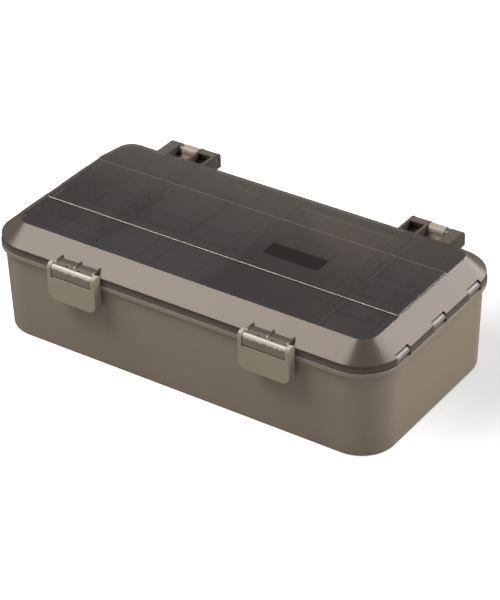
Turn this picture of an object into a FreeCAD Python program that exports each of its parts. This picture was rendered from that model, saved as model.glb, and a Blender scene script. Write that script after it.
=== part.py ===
"""Two-latch fishing tackle box with a clear compartment lid.

The box is a deep tray with a beaded rim.  Its lid is a clear shell with sloped
sides, hung on two rear hinges and held by two front latches.  Under the lid hang
three organiser grids.  A hinged cover closes each end grid from below, and a
removable cover with a thumb notch closes the left half of the middle one.

Frame: millimetres, +Z up, +X along the length, -Y towards the latches.  The
origin is the centre of the underside, on the surface that the box stands on.
"""
import FreeCAD
import Part
import Sketcher
import math
import os

SIZES = [
    # the tray
    ("rim_length", 350.0, "length over the rim bead"),
    ("rim_width", 179.0, "width over the rim bead"),
    ("rim_corner", 33.0, "plan radius of the rim bead's corners"),
    ("base_height", 74.1, "top of the tray's rim above the ground"),
    ("bead_width", 0.6, "how far the lid's bead stands proud of its skirt"),
    ("base_bead_height", 2.8, "height of the tray's overhanging rim bead"),
    ("base_draft", 2.2, "how far the tray's foot is drawn in from its top"),
    ("tray_inset", 2.8, "how far the tray's walls stand in under its rim bead"),
    ("base_wall", 2.2, "wall of the tray"),
    ("base_floor", 2.6, "floor of the tray"),
    ("foot_radius", 2.4, "rounding round the tray's foot"),
    ("rim_wall", 2.8, "thickness of the tray's rim above its inner step"),
    ("step_depth", 1.8, "depth of the tray's inner step below the rim"),
    # the lid shell
    ("parting_gap", 0.2, "gap between tray and lid"),
    ("lid_skirt_height", 6.4, "upright part of the lid's side"),
    ("lid_slope_height", 12.5, "sloped part of the lid's side"),
    ("top_inset", 17.6, "inset of the lid's flat top from the rim"),
    ("top_corner", 12.6, "plan radius of the flat top's corners"),
    ("lid_wall", 2.0, "wall of the lid"),
    ("lid_bead_height", 1.2, "height of the lid's bottom bead"),
    ("edge_radius", 0.7, "rounding of the lid's outer edges"),
    ("band_rise", 0.9, "how far the middle band of the top is raised"),
    ("band_front", 32.1, "front step of the raised band, from the centre"),
    ("band_rear", 35.3, "rear step of the raised band, from the centre"),
    ("band_chamfer", 0.35, "chamfer along the steps"),
    ("lip_length", 240.0, "length of the locating lips"),
    ("lip_wall", 1.5, "thickness of the locating lips"),
    ("lip_depth", 1.6, "how far the lips reach into the tray"),
    ("lip_root", 2.4, "height of the lips' root on the lid"),
    ("lip_clearance", 0.4, "clearance between lips and tray"),
    # the rear hinges
    ("hinge_setback", 9.6, "hinge axis behind the rim bead"),
    ("hinge_rise", 8.6, "hinge axis above the tray's rim"),
    ("hinge_radius", 5.0, "radius of the hinge barrels"),
    ("hinge_pin_radius", 2.0, "radius of the hinge pins"),
    ("hinge_inset", 85.8, "inner end of each hinge, from the end of the rim bead"),
    ("arm_width", 17.0, "width of the lid's inner hinge arm"),
    ("arm_cheek", 2.2, "thickness of the inner arm's cheeks"),
    ("arm_corner", 3.8, "rounding of the inner arm's rear corner"),
    ("knuckle_width", 13.8, "width of the tray's knuckle"),
    ("boss_width", 3.6, "width of the outer arm's boss"),
    ("boss_radius", 4.5, "radius of the outer arm's boss"),
    ("block_width", 9.6, "width of the lid's outer hinge arm"),
    ("block_taper", 5.2, "how far the outer arm's inner side slants"),
    ("block_corner", 5.4, "rounding of the outer arm's rear corner"),
    ("pin_inset", 0.5, "how far the pins' ends stay inside their bores"),
    ("knuckle_drop", 15.0, "how far the tray's knuckle web runs down the wall"),
    ("web_root", 6.0, "depth of the tray's knuckle web at the rim"),
    ("web_rear_angle", 37.0, "where the web meets the barrel's rear, below the axis, in degrees"),
    ("web_front_angle", 12.0, "where the web meets the barrel's front, below the axis, in degrees"),
    ("side_clearance", 0.3, "side clearance between moving parts"),
    ("overshoot", 1.0, "how far cuts run out past the material"),
    ("pin_clearance", 0.06, "radial running clearance of the pins"),
    # the front latches
    ("latch_inset", 89.5, "centre of each latch, from the end of the rim bead"),
    ("latch_width", 44.0, "width of a latch"),
    ("latch_drop", 26.8, "latch below its pivot"),
    ("latch_cheek", 3.5, "thickness of the latch's cheeks"),
    ("latch_plate", 2.4, "thickness of the latch's front plate"),
    ("latch_depth", 7.7, "depth of the latch's frame"),
    ("latch_corner", 6.5, "rounding of the latch's lower corners"),
    ("latch_edge", 0.6, "rounding of the latch's front edges"),
    ("latch_setback", 4.1, "latch pivot in front of the rim bead"),
    ("latch_rise", 6.2, "latch pivot above the tray's rim"),
    ("ear_radius", 4.2, "radius of the latch's ears"),
    ("window_drop", 7.0, "lower edge of the latch's window below its pivot"),
    ("latch_pin_radius", 1.3, "radius of the latch pins"),
    ("ear_bore_depth", 2.3, "depth of the blind bores in the ears"),
    ("lug_radius", 3.6, "rounding of the lid's latch lug round its pivot"),
    ("lug_sweep", 6.85, "radius round the pivot that the lug's foot keeps within"),
    ("hook_height", 2.2, "height of the latch's hook"),
    ("hook_drop", 9.3, "top of the hook below the pivot"),
    ("hook_reach", 1.4, "how far the hook reaches under the rim bead"),
    ("gusset_width", 1.6, "thickness of the gussets"),
    ("gusset_rise", 1.2, "how far the gussets stand above the lug"),
    ("gusset_setback", 0.6, "front foot of the gussets behind the latch pivot"),
    ("lug_pocket_width", 3.0, "width of the moulding pockets in the lug"),
    ("lug_pocket_pitch", 11.5, "spacing of the moulding pockets"),
    ("lug_pocket_depth", 0.9, "depth of the moulding pockets"),
    # the organisers
    ("divider_wall", 1.5, "thickness of the dividers"),
    ("organiser_gap", 0.3, "gap between the organisers and the lid's sides"),
    ("organiser_floor_gap", 0.4, "gap between the dividers and the covers"),
    ("centre_half_length", 98.3, "end walls of the middle organiser"),
    ("end_wall_offset", 4.6, "spacing of the neighbouring organisers' walls"),
    ("end_divider_inset", 37.0, "end organisers' divider, from the end of the rim bead"),
    ("quarter_divider", 49.0, "lengthwise place of the middle's left divider"),
    ("row_margin", 32.5, "what the rim bead's width has over the four rows, on each side"),
    ("scoop_radius", 14.6, "inner radius of the thumb scoop's wall"),
    ("scoop_inset", 19.7, "centre of the thumb scoop, from the side of the rim bead"),
    # the covers
    ("cover_thickness", 1.6, "thickness of the covers"),
    ("cover_gap", 0.8, "gap under the covers, above the tray's rim"),
    ("cover_side_inset", 6.8, "sides of the covers inside the rim bead"),
    ("cover_corner", 32.0, "plan radius of an end cover's outer corners"),
    ("cover_inner_corner", 4.0, "plan radius of the covers' other corners"),
    ("cover_pivot_inset", 3.8, "end cover's axis inside the rim bead"),
    ("cover_pivot_rise", 3.7, "end cover's axis above the tray's rim"),
    ("knob_radius", 2.9, "radius of the end covers' knuckles"),
    ("knob_width", 16.6, "width of the end covers' knuckles"),
    ("knob_margin", 3.6, "outermost knuckle's end inside the rail's end"),
    ("knob_shift", 2.7, "shift of the row of knuckles towards the latches"),
    ("slot_top", 1.8, "top of the lid's end slots above the slope's foot"),
    ("cover_pin_radius", 1.0, "radius of the end covers' pins"),
    ("rail_depth", 6.2, "depth of the lid's end rails from the wall's outside"),
    ("rail_rise", 6.4, "height of the lid's end rails"),
    ("rail_inset", 24.9, "ends of the lid's end rails inside the rim bead's sides"),
    ("tab_width", 14.0, "width of the finger and snap tabs"),
    ("tab_height", 4.0, "height of the finger and snap tabs"),
    ("tab_thickness", 1.2, "thickness of the finger and snap tabs"),
]

FLAT = 1e-4     # an edge that spans less than this along an axis has no length along it
NEAR = 1e-3     # places closer than this count as the same

doc = FreeCAD.newDocument("TackleBox")
sheet = doc.addObject("Spreadsheet::Sheet", "Sizes")
for row, (alias, number, meaning) in enumerate(SIZES, start=1):
    sheet.set(f"A{row}", meaning)
    sheet.set(f"B{row}", str(number))
    sheet.setAlias(f"B{row}", alias)
doc.recompute()


# Places that several pieces share, each worked out from the sheet.

LID_BOTTOM = "(Sizes.base_height + Sizes.parting_gap)"
LID_FOOT = f"({LID_BOTTOM} + Sizes.lid_skirt_height)"
LID_TOP = f"({LID_FOOT} + Sizes.lid_slope_height)"
LID_CEILING = f"({LID_TOP} - Sizes.lid_wall)"
SLOPE_RUN = "(Sizes.top_inset - Sizes.bead_width)"
SLOPE_LENGTH = f"sqrt({SLOPE_RUN}^2 + Sizes.lid_slope_height^2)"
FOOT_DROP = f"({SLOPE_LENGTH} - Sizes.lid_slope_height) / {SLOPE_RUN}"
TOP_DRAW = f"({SLOPE_LENGTH} - {SLOPE_RUN}) / Sizes.lid_slope_height"

WALL_END = "(Sizes.rim_length / 2 - Sizes.bead_width)"
WALL_SIDE = "(Sizes.rim_width / 2 - Sizes.bead_width)"

HINGE_START = "(Sizes.rim_length / 2 - Sizes.hinge_inset)"
HINGE_Y = "(Sizes.rim_width / 2 + Sizes.hinge_setback)"
HINGE_Z = "(Sizes.base_height + Sizes.hinge_rise)"
KNUCKLE_START = f"({HINGE_START} + Sizes.arm_width + Sizes.side_clearance)"
BOSS_START = f"({KNUCKLE_START} + Sizes.knuckle_width + Sizes.side_clearance)"
BLOCK_START = f"({BOSS_START} + Sizes.boss_width)"
BLOCK_END = f"({BLOCK_START} + Sizes.block_width)"
ARM_FOOT = f"({LID_BOTTOM} + Sizes.parting_gap)"
HINGE_PIN_START = f"({HINGE_START} + Sizes.pin_inset)"
HINGE_PIN_END = f"({BLOCK_END} - Sizes.arm_cheek)"

LATCH_CENTRE = "(Sizes.rim_length / 2 - Sizes.latch_inset)"
LATCH_Y = "(-Sizes.rim_width / 2 - Sizes.latch_setback)"
LATCH_Z = "(Sizes.base_height + Sizes.latch_rise)"
LATCH_FRONT = f"({LATCH_Y} - Sizes.ear_radius)"
LATCH_BACK = f"({LATCH_FRONT} + Sizes.latch_depth)"
LATCH_LEFT = f"({LATCH_CENTRE} - Sizes.latch_width / 2)"
WINDOW_LEFT = f"({LATCH_LEFT} + Sizes.latch_cheek)"
LUG_LEFT = f"({WINDOW_LEFT} + Sizes.side_clearance)"
LUG_WIDTH = "(Sizes.latch_width - 2 * Sizes.latch_cheek - 2 * Sizes.side_clearance)"

COVER_SIDE = "(Sizes.rim_width / 2 - Sizes.cover_side_inset)"
COVER_X = "(Sizes.rim_length / 2 - Sizes.cover_pivot_inset)"
COVER_Z = "(Sizes.base_height + Sizes.cover_pivot_rise)"
COVER_BOTTOM = "(Sizes.base_height + Sizes.cover_gap)"
COVER_TOP = f"({COVER_BOTTOM} + Sizes.cover_thickness)"
DIVIDER_BOTTOM = f"({COVER_TOP} + Sizes.organiser_floor_gap)"
RAIL_FACE = f"({WALL_END} - Sizes.rail_depth)"
RAIL_TOP = f"({LID_BOTTOM} + Sizes.rail_rise)"
RAIL_HALF = "(Sizes.rim_width / 2 - Sizes.rail_inset)"
KNOB_PITCH = f"({RAIL_HALF} - Sizes.knob_margin - Sizes.knob_width / 2 - Sizes.knob_shift)"
END_WALL = "(Sizes.centre_half_length + Sizes.end_wall_offset)"
END_DIVIDER = "(Sizes.rim_length / 2 - Sizes.end_divider_inset)"
ROW_PITCH = "((Sizes.rim_width - 2 * Sizes.row_margin) / 4)"
SCOOP_CENTRE = "(Sizes.rim_width / 2 - Sizes.scoop_inset)"


def value(expression):
    """The number that an expression over the sheet comes to."""
    result = sheet.evalExpression(expression)
    return float(getattr(result, "Value", result))


# Sketches

def plane_of(body, role):
    """One of the body's own origin planes."""
    return next(item for item in body.Origin.OriginFeatures if item.Role == role)


def new_sketch(body, name, role, offset="0"):
    """An empty sketch on an origin plane, moved along the plane's normal."""
    sketch = body.newObject("Sketcher::SketchObject", name)
    sketch.AttachmentSupport = [(plane_of(body, role), "")]
    sketch.MapMode = "FlatFace"
    sketch.AttachmentOffset = FreeCAD.Placement(FreeCAD.Vector(0, 0, value(offset)), FreeCAD.Rotation())
    sketch.setExpression("AttachmentOffset.Base.z", offset)
    return sketch


def bind(sketch, constraint, expression):
    """Add a dimension to the sketch and bind it to an expression."""
    index = sketch.addConstraint(constraint)
    sketch.setExpression(f"Constraints[{index}]", expression)


def place_point(sketch, edge, point, across, upward):
    """Hold one point of an edge at a place measured from the sketch's origin."""
    for kind, expression in (("DistanceX", across), ("DistanceY", upward)):
        constraint = Sketcher.Constraint(kind, -1, 1, edge, point, value(expression))
        bind(sketch, constraint, expression)


def add_polygon(sketch, corners):
    """A closed outline of straight edges through the given corners."""
    first = sketch.GeometryCount
    points = [FreeCAD.Vector(value(across), value(upward), 0) for across, upward in corners]
    for start, end in zip(points, points[1:] + points[:1]):
        sketch.addGeometry(Part.LineSegment(start, end), False)
    for index, (across, upward) in enumerate(corners):
        following = first + (index + 1) % len(corners)
        sketch.addConstraint(Sketcher.Constraint("Coincident", first + index, 2, following, 1))
        place_point(sketch, first + index, 1, across, upward)


def add_box(sketch, left, right, bottom, top):
    """A closed rectangle."""
    add_polygon(sketch, [(left, bottom), (right, bottom), (right, top), (left, top)])


def add_circle(sketch, across, upward, radius):
    """A full circle."""
    centre = FreeCAD.Vector(value(across), value(upward), 0)
    edge = sketch.addGeometry(Part.Circle(centre, FreeCAD.Vector(0, 0, 1), value(radius)), False)
    place_point(sketch, edge, 3, across, upward)
    bind(sketch, Sketcher.Constraint("Radius", edge, value(radius)), radius)


def add_rounded_outline(sketch, length, width, radius):
    """A rectangle with round corners, centred on the sketch's origin."""
    first = sketch.GeometryCount
    x, y, r = value(length) / 2, value(width) / 2, value(radius)
    lines = [((r - x, -y), (x - r, -y)), ((x, r - y), (x, y - r)),
             ((x - r, y), (r - x, y)), ((-x, y - r), (-x, r - y))]
    for start, end in lines:
        line = Part.LineSegment(FreeCAD.Vector(*start, 0), FreeCAD.Vector(*end, 0))
        sketch.addGeometry(line, False)
    quarter = math.pi / 2
    centres = [(x - r, r - y), (x - r, y - r), (r - x, y - r), (r - x, r - y)]
    for index, centre in enumerate(centres):
        circle = Part.Circle(FreeCAD.Vector(*centre, 0), FreeCAD.Vector(0, 0, 1), r)
        start = (index - 1) * quarter
        sketch.addGeometry(Part.ArcOfCircle(circle, start, start + quarter), False)
    for index in range(4):
        line, arc, following = first + index, first + 4 + index, first + (index + 1) % 4
        sketch.addConstraint(Sketcher.Constraint("Tangent", line, 2, arc, 1))
        sketch.addConstraint(Sketcher.Constraint("Tangent", arc, 2, following, 1))
        direction = "Horizontal" if index % 2 == 0 else "Vertical"
        sketch.addConstraint(Sketcher.Constraint(direction, line))
    for arc in range(first + 5, first + 8):
        sketch.addConstraint(Sketcher.Constraint("Equal", first + 4, arc))
    sketch.addConstraint(Sketcher.Constraint("Symmetric", first + 4, 3, first + 6, 3, -1, 1))
    bind(sketch, Sketcher.Constraint("Radius", first + 4, r), radius)
    across = Sketcher.Constraint("DistanceX", first + 2, 2, first + 2, 1, 2 * (x - r))
    bind(sketch, across, f"{length} - 2 * ({radius})")
    upward = Sketcher.Constraint("DistanceY", first + 1, 1, first + 1, 2, 2 * (y - r))
    bind(sketch, upward, f"{width} - 2 * ({radius})")


def inset_outline(body, name, height, inset):
    """The rim's outline, drawn in by an inset, as a sketch at a height."""
    sketch = new_sketch(body, name, "XY_Plane", height)
    add_rounded_outline(sketch, f"Sizes.rim_length - 2 * ({inset})",
                        f"Sizes.rim_width - 2 * ({inset})", f"Sizes.rim_corner - ({inset})")
    return sketch


def top_outline(body, name, height, inset):
    """The flat top's outline, drawn in by a further inset, as a sketch at a height."""
    sketch = new_sketch(body, name, "XY_Plane", height)
    total = f"(Sizes.top_inset + {inset})"
    add_rounded_outline(sketch, f"Sizes.rim_length - 2 * {total}",
                        f"Sizes.rim_width - 2 * {total}", f"Sizes.top_corner - ({inset})")
    return sketch


# Features

def new_body(name):
    """An empty body whose label is its node's name."""
    body = doc.addObject("PartDesign::Body", name)
    body.Label = name
    return body


def extrude(kind, sketch, name, length, reverse):
    """Carry a sketch along its normal, as a Pad or a Pocket, and check that it did something."""
    body = sketch.getParentGeoFeatureGroup()
    before = body.Shape.Volume if body.Tip else 0.0
    feature = body.newObject(f"PartDesign::{kind}", name)
    feature.Profile = sketch
    feature.Length = value(length)
    feature.setExpression("Length", length)
    feature.Reversed = reverse
    doc.recompute()
    change = feature.Shape.Volume - before
    if (change if kind == "Pad" else -change) <= 0:
        raise RuntimeError(f"{name} changes nothing")
    return feature


def pad(sketch, name, length, reverse=False):
    """Add the sketch's area, carried along its normal."""
    return extrude("Pad", sketch, name, length, reverse)


def pocket(sketch, name, length, reverse=True):
    """Cut the sketch's area away, carried along its normal."""
    return extrude("Pocket", sketch, name, length, reverse)


def loft(kind, name, lower, upper):
    """A straight-sided loft between two outlines, added or cut away."""
    feature = lower.getParentGeoFeatureGroup().newObject(f"PartDesign::{kind}", name)
    feature.Profile = lower
    feature.Sections = [upper]
    feature.Ruled = True
    doc.recompute()
    return feature


def dress_edges(kind, base, name, size, chosen):
    """A Fillet or a Chamfer on the edges that the test picks."""
    edges = [f"Edge{index}" for index, edge in enumerate(base.Shape.Edges, start=1) if chosen(edge)]
    if not edges:
        raise RuntimeError(f"{name} finds no edge")
    feature = base.getParentGeoFeatureGroup().newObject(f"PartDesign::{kind}", name)
    feature.Base = (base, edges)
    prop = "Radius" if kind == "Fillet" else "Size"
    feature.setExpression(prop, size)
    doc.recompute()
    return feature


def mirror(body, name, originals, role="YZ_Plane"):
    """Repeat features on the other side of an origin plane."""
    feature = body.newObject("PartDesign::Mirrored", name)
    feature.Originals = originals
    feature.MirrorPlane = (plane_of(body, role), [""])
    body.Tip = feature
    doc.recompute()
    return feature


def level_edge(height):
    """A test for edges that lie at one height."""
    level = value(height)
    return lambda edge: edge.BoundBox.ZLength < FLAT and abs(edge.BoundBox.ZMin - level) < NEAR


def upright_edge(across, upward, reach=0.5):
    """A test for upright edges near a place in plan."""
    x, y = value(across), value(upward)

    def chosen(edge):
        box = edge.BoundBox
        upright = box.XLength < FLAT and box.YLength < FLAT
        return upright and abs(box.XMin - x) < reach and abs(box.YMin - y) < reach
    return chosen


def make_pin(name, radius, length, start, axis):
    """A round pin from its start along an axis, with its three places as expressions."""
    item = doc.addObject("Part::Cylinder", name)
    item.Label = name
    item.setExpression("Radius", radius)
    item.setExpression("Height", length)
    item.Placement = FreeCAD.Placement(FreeCAD.Vector(), FreeCAD.Rotation(FreeCAD.Vector(0, 0, 1), axis))
    for letter, expression in zip("xyz", start):
        item.setExpression(f"Placement.Base.{letter}", expression)
    return item


# The tray

def make_base_shell():
    """Drafted tray with a rounded foot, a rim bead and two hinge knuckles."""
    body = new_body("base_shell")
    foot = inset_outline(body, "base_foot_outline", "0", "Sizes.tray_inset + Sizes.base_draft")
    brim = inset_outline(body, "base_brim_outline", "Sizes.base_height", "Sizes.tray_inset")
    loft("AdditiveLoft", "base_walls", foot, brim)
    hollow_foot = inset_outline(body, "base_hollow_foot", "Sizes.base_floor",
                                "Sizes.tray_inset + Sizes.base_draft + Sizes.base_wall")
    hollow_brim = inset_outline(body, "base_hollow_brim", "Sizes.base_height",
                                "Sizes.tray_inset + Sizes.base_wall")
    hollow = loft("SubtractiveLoft", "base_hollow", hollow_foot, hollow_brim)

    def foot_edge(edge):
        return level_edge("0")(edge) or level_edge("Sizes.base_floor")(edge)
    dress_edges("Fillet", hollow, "base_foot_rounding", "Sizes.foot_radius", foot_edge)

    ring = inset_outline(body, "base_bead_outline", "Sizes.base_height", "0")
    half_wall = "(Sizes.tray_inset + Sizes.base_wall / 2)"
    add_rounded_outline(ring, f"Sizes.rim_length - 2 * {half_wall}",
                        f"Sizes.rim_width - 2 * {half_wall}", f"Sizes.rim_corner - {half_wall}")
    pad(ring, "base_bead", "Sizes.base_bead_height", reverse=True)
    step_level = "Sizes.base_height - Sizes.step_depth"
    step = inset_outline(body, "inner_step_outline", step_level, "Sizes.rim_wall")
    pocket(step, "inner_step", "Sizes.step_depth")

    web = new_sketch(body, "knuckle_web_outline", "YZ_Plane", KNUCKLE_START)
    wall_middle = f"(Sizes.rim_width / 2 - {half_wall})"
    rim_middle = "(Sizes.rim_width / 2 - Sizes.rim_wall / 2)"
    ledge_middle = "(Sizes.base_height - (Sizes.step_depth + Sizes.base_bead_height) / 2)"
    add_polygon(web, [(wall_middle, "Sizes.base_height - Sizes.knuckle_drop"),
                      (f"{HINGE_Y} - Sizes.hinge_radius + Sizes.web_root / 2",
                       "Sizes.base_height - Sizes.web_root"),
                      (f"{HINGE_Y} + Sizes.hinge_radius * cos(Sizes.web_rear_angle)",
                       f"{HINGE_Z} - Sizes.hinge_radius * sin(Sizes.web_rear_angle)"),
                      (HINGE_Y, HINGE_Z),
                      (f"{HINGE_Y} - Sizes.hinge_radius * cos(Sizes.web_front_angle)",
                       f"{HINGE_Z} - Sizes.hinge_radius * sin(Sizes.web_front_angle)"),
                      ("Sizes.rim_width / 2 + Sizes.side_clearance", "Sizes.base_height"),
                      (rim_middle, "Sizes.base_height"), (rim_middle, ledge_middle),
                      (wall_middle, ledge_middle)])
    knuckle_web = pad(web, "knuckle_web", "Sizes.knuckle_width")
    barrel = new_sketch(body, "knuckle_outline", "YZ_Plane", KNUCKLE_START)
    add_circle(barrel, HINGE_Y, HINGE_Z, "Sizes.hinge_radius")
    knuckle = pad(barrel, "knuckle", "Sizes.knuckle_width")
    bore = new_sketch(body, "knuckle_bore_outline", "YZ_Plane", KNUCKLE_START)
    add_circle(bore, HINGE_Y, HINGE_Z, "Sizes.hinge_pin_radius")
    knuckle_bore = pocket(bore, "knuckle_bore", "Sizes.knuckle_width")
    mirror(body, "left_knuckle", [knuckle_web, knuckle, knuckle_bore])
    return body


# The lid shell

def make_lid_form(body):
    """The lid's outside: bead, skirt, slope and raised band."""
    skirt = inset_outline(body, "skirt_outline", LID_BOTTOM, "Sizes.bead_width")
    pad(skirt, "skirt", "Sizes.lid_skirt_height")
    foot = inset_outline(body, "slope_foot_outline", LID_FOOT, "Sizes.bead_width")
    slope = loft("AdditiveLoft", "slope", foot, top_outline(body, "slope_top_outline", LID_TOP, "0"))

    def edge_of_slope(edge):
        return level_edge(LID_FOOT)(edge) or level_edge(LID_TOP)(edge)
    dress_edges("Fillet", slope, "slope_rounding", "Sizes.edge_radius", edge_of_slope)

    bead = inset_outline(body, "lid_bead_outline", LID_BOTTOM, "0")
    pad(bead, "lid_bead", "Sizes.lid_bead_height")

    band = new_sketch(body, "band_outline", "XZ_Plane", "Sizes.band_front")
    band_end = "(Sizes.rim_length / 2 - Sizes.top_inset)"
    rake = f"({SLOPE_RUN} / Sizes.lid_slope_height)"
    below = "Sizes.lid_wall / 2"
    add_polygon(band, [(f"-{band_end} - {below} * {rake} + Sizes.edge_radius", f"{LID_TOP} - {below}"),
                       (f"{band_end} + {below} * {rake} - Sizes.edge_radius", f"{LID_TOP} - {below}"),
                       (f"{band_end} - Sizes.band_rise * {rake}", f"{LID_TOP} + Sizes.band_rise"),
                       (f"-{band_end} + Sizes.band_rise * {rake}", f"{LID_TOP} + Sizes.band_rise")])
    raised = pad(band, "raised_band", "Sizes.band_front + Sizes.band_rear", reverse=True)

    def long_step(edge):
        return level_edge(f"{LID_TOP} + Sizes.band_rise")(edge) and edge.BoundBox.YLength < FLAT
    dress_edges("Chamfer", raised, "band_steps", "Sizes.band_chamfer", long_step)


def hollow_lid(body):
    """The lid's inside: an upright part and a sloped part, one wall in from the outside."""
    wall = "Sizes.bead_width + Sizes.lid_wall"
    inner_foot = f"({LID_FOOT} - Sizes.lid_wall * {FOOT_DROP})"
    upright = inset_outline(body, "hollow_outline", LID_BOTTOM, wall)
    pocket(upright, "hollow_skirt", f"{inner_foot} - {LID_BOTTOM}")
    lower = inset_outline(body, "hollow_foot_outline", inner_foot, wall)
    upper = top_outline(body, "hollow_top_outline", LID_CEILING, f"Sizes.lid_wall * {TOP_DRAW}")
    loft("SubtractiveLoft", "hollow_slope", lower, upper)


def add_locating_lips(body):
    """Ribs inside the long sides that reach down into the tray."""
    lip = new_sketch(body, "lip_outline", "YZ_Plane", "-Sizes.lip_length / 2")
    outside = "(Sizes.rim_width / 2 - Sizes.rim_wall - Sizes.lip_clearance)"
    inside = f"({outside} - Sizes.lip_wall)"
    root_top = f"{LID_BOTTOM} + Sizes.lip_root"
    root = f"({WALL_SIDE} - Sizes.lid_wall / 2)"
    lip_foot = f"({LID_BOTTOM} - Sizes.lip_depth)"
    add_polygon(lip, [(inside, lip_foot), (outside, lip_foot),
                      (outside, LID_BOTTOM), (root, LID_BOTTOM), (root, root_top), (inside, root_top)])
    rear_lip = pad(lip, "rear_lip", "Sizes.lip_length")
    mirror(body, "front_lip", [rear_lip], "XZ_Plane")


def knob_centres():
    """Places of the end covers' three knuckles along Y."""
    return [f"({step} * {KNOB_PITCH} - Sizes.knob_shift)" for step in (-1, 0, 1)]


def add_end_rails(body):
    """Rails inside the short sides that carry the end covers' pins, slotted for the knuckles."""
    rail = new_sketch(body, "rail_outline", "XY_Plane", LID_BOTTOM)
    add_box(rail, RAIL_FACE, f"{WALL_END} - Sizes.lid_wall / 2",
            f"-{RAIL_HALF}", RAIL_HALF)
    right_rail = pad(rail, "right_rail", "Sizes.rail_rise")
    slots = new_sketch(body, "slot_outlines", "XY_Plane", LID_BOTTOM)
    half = "(Sizes.knob_width / 2 + Sizes.side_clearance)"
    for centre in knob_centres():
        add_box(slots, f"{RAIL_FACE} - Sizes.overshoot", "Sizes.rim_length / 2 + Sizes.overshoot",
                f"{centre} - {half}", f"{centre} + {half}")
    right_slots = pocket(slots, "right_slots", "Sizes.lid_skirt_height + Sizes.slot_top")
    bore = new_sketch(body, "cover_pin_bore_outline", "XZ_Plane", RAIL_HALF)
    add_circle(bore, COVER_X, COVER_Z, "Sizes.cover_pin_radius")
    right_bore = pocket(bore, "right_cover_pin_bore", f"2 * {RAIL_HALF}", reverse=False)
    mirror(body, "left_rail", [right_rail, right_slots, right_bore])


def arm_profile():
    """Side outline that both hinge arms share, from inside the lid's wall to behind the axis."""
    behind = f"({HINGE_Y} + Sizes.hinge_radius)"
    above = f"({HINGE_Z} + Sizes.hinge_radius)"
    root = f"({WALL_SIDE} - Sizes.lid_wall / 2)"
    slope_meets = f"({WALL_SIDE} - ({above} - {LID_FOOT}) * {SLOPE_RUN} / Sizes.lid_slope_height)"
    return [(root, ARM_FOOT), (behind, ARM_FOOT), (behind, above),
            (f"{slope_meets} - Sizes.lid_wall / 2", above), (root, f"{LID_FOOT} - Sizes.lid_wall / 2")]


def make_arm(name, start, width, corner):
    """One hinge arm as a plain block with a rounded rear corner."""
    body = new_body(name)
    outline = new_sketch(body, f"{name}_outline", "YZ_Plane", start)
    add_polygon(outline, arm_profile())
    block = pad(outline, f"{name}_block", width)
    behind, above = value(f"{HINGE_Y} + Sizes.hinge_radius"), value(f"{HINGE_Z} + Sizes.hinge_radius")

    def rear_corner(edge):
        centre = edge.CenterOfMass
        return abs(centre.y - behind) < NEAR and abs(centre.z - above) < NEAR
    dress_edges("Fillet", block, f"{name}_corner", corner, rear_corner)
    return body


def bore_arm(body, start, length):
    """The running bore of a hinge pin."""
    bore = new_sketch(body, f"{body.Name}_bore_outline", "YZ_Plane", start)
    add_circle(bore, HINGE_Y, HINGE_Z, "Sizes.hinge_pin_radius + Sizes.pin_clearance")
    pocket(bore, f"{body.Name}_bore", length)


def make_inner_arm():
    """Hollow hinge arm: two cheeks on a solid root, open between them."""
    body = make_arm("inner_arm", HINGE_START, "Sizes.arm_width", "Sizes.arm_corner")
    below = f"({ARM_FOOT} - Sizes.overshoot)"
    behind = f"({HINGE_Y} + Sizes.hinge_radius + Sizes.overshoot)"
    above = f"({HINGE_Z} + Sizes.hinge_radius)"
    outside = f"({above} + Sizes.overshoot)"
    front = f"({WALL_SIDE} + Sizes.lid_wall / 4)"
    slope_meets = f"({WALL_SIDE} - ({above} - {LID_FOOT}) * {SLOPE_RUN} / Sizes.lid_slope_height)"
    window = new_sketch(body, "arm_window_outline", "YZ_Plane", f"{HINGE_START} + Sizes.arm_cheek")
    add_polygon(window, [(front, below), (behind, below), (behind, outside),
                         (f"{slope_meets} + Sizes.lid_wall / 4", outside),
                         (f"{slope_meets} + Sizes.lid_wall / 4", above), (front, LID_FOOT)])
    pocket(window, "arm_window", "Sizes.arm_width - 2 * Sizes.arm_cheek")
    bore_arm(body, HINGE_START, "Sizes.arm_width")
    return body


def make_outer_arm():
    """Solid hinge arm with a slanted inner side and a boss round the pin."""
    body = make_arm("outer_arm", BLOCK_START, "Sizes.block_width", "Sizes.block_corner")
    slant = new_sketch(body, "outer_arm_slant_outline", "XZ_Plane", f"-({WALL_SIDE} - Sizes.lid_wall)")
    inside = f"({BLOCK_START} - Sizes.overshoot)"
    above, below = f"({HINGE_Z} - Sizes.overshoot)", f"({ARM_FOOT} - Sizes.overshoot)"
    add_polygon(slant, [(inside, above), (BLOCK_START, above),
                        (f"{BLOCK_START} + Sizes.block_taper", below), (inside, below)])
    pocket(slant, "outer_arm_slant", "2 * (Sizes.hinge_setback + Sizes.hinge_radius)", reverse=False)
    boss = new_sketch(body, "boss_outline", "YZ_Plane", BOSS_START)
    add_circle(boss, HINGE_Y, HINGE_Z, "Sizes.boss_radius")
    pad(boss, "outer_boss", "Sizes.boss_width + Sizes.block_taper / 4")
    bore_arm(body, BOSS_START, f"{HINGE_PIN_END} - {BOSS_START} + Sizes.side_clearance")
    return body


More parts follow.
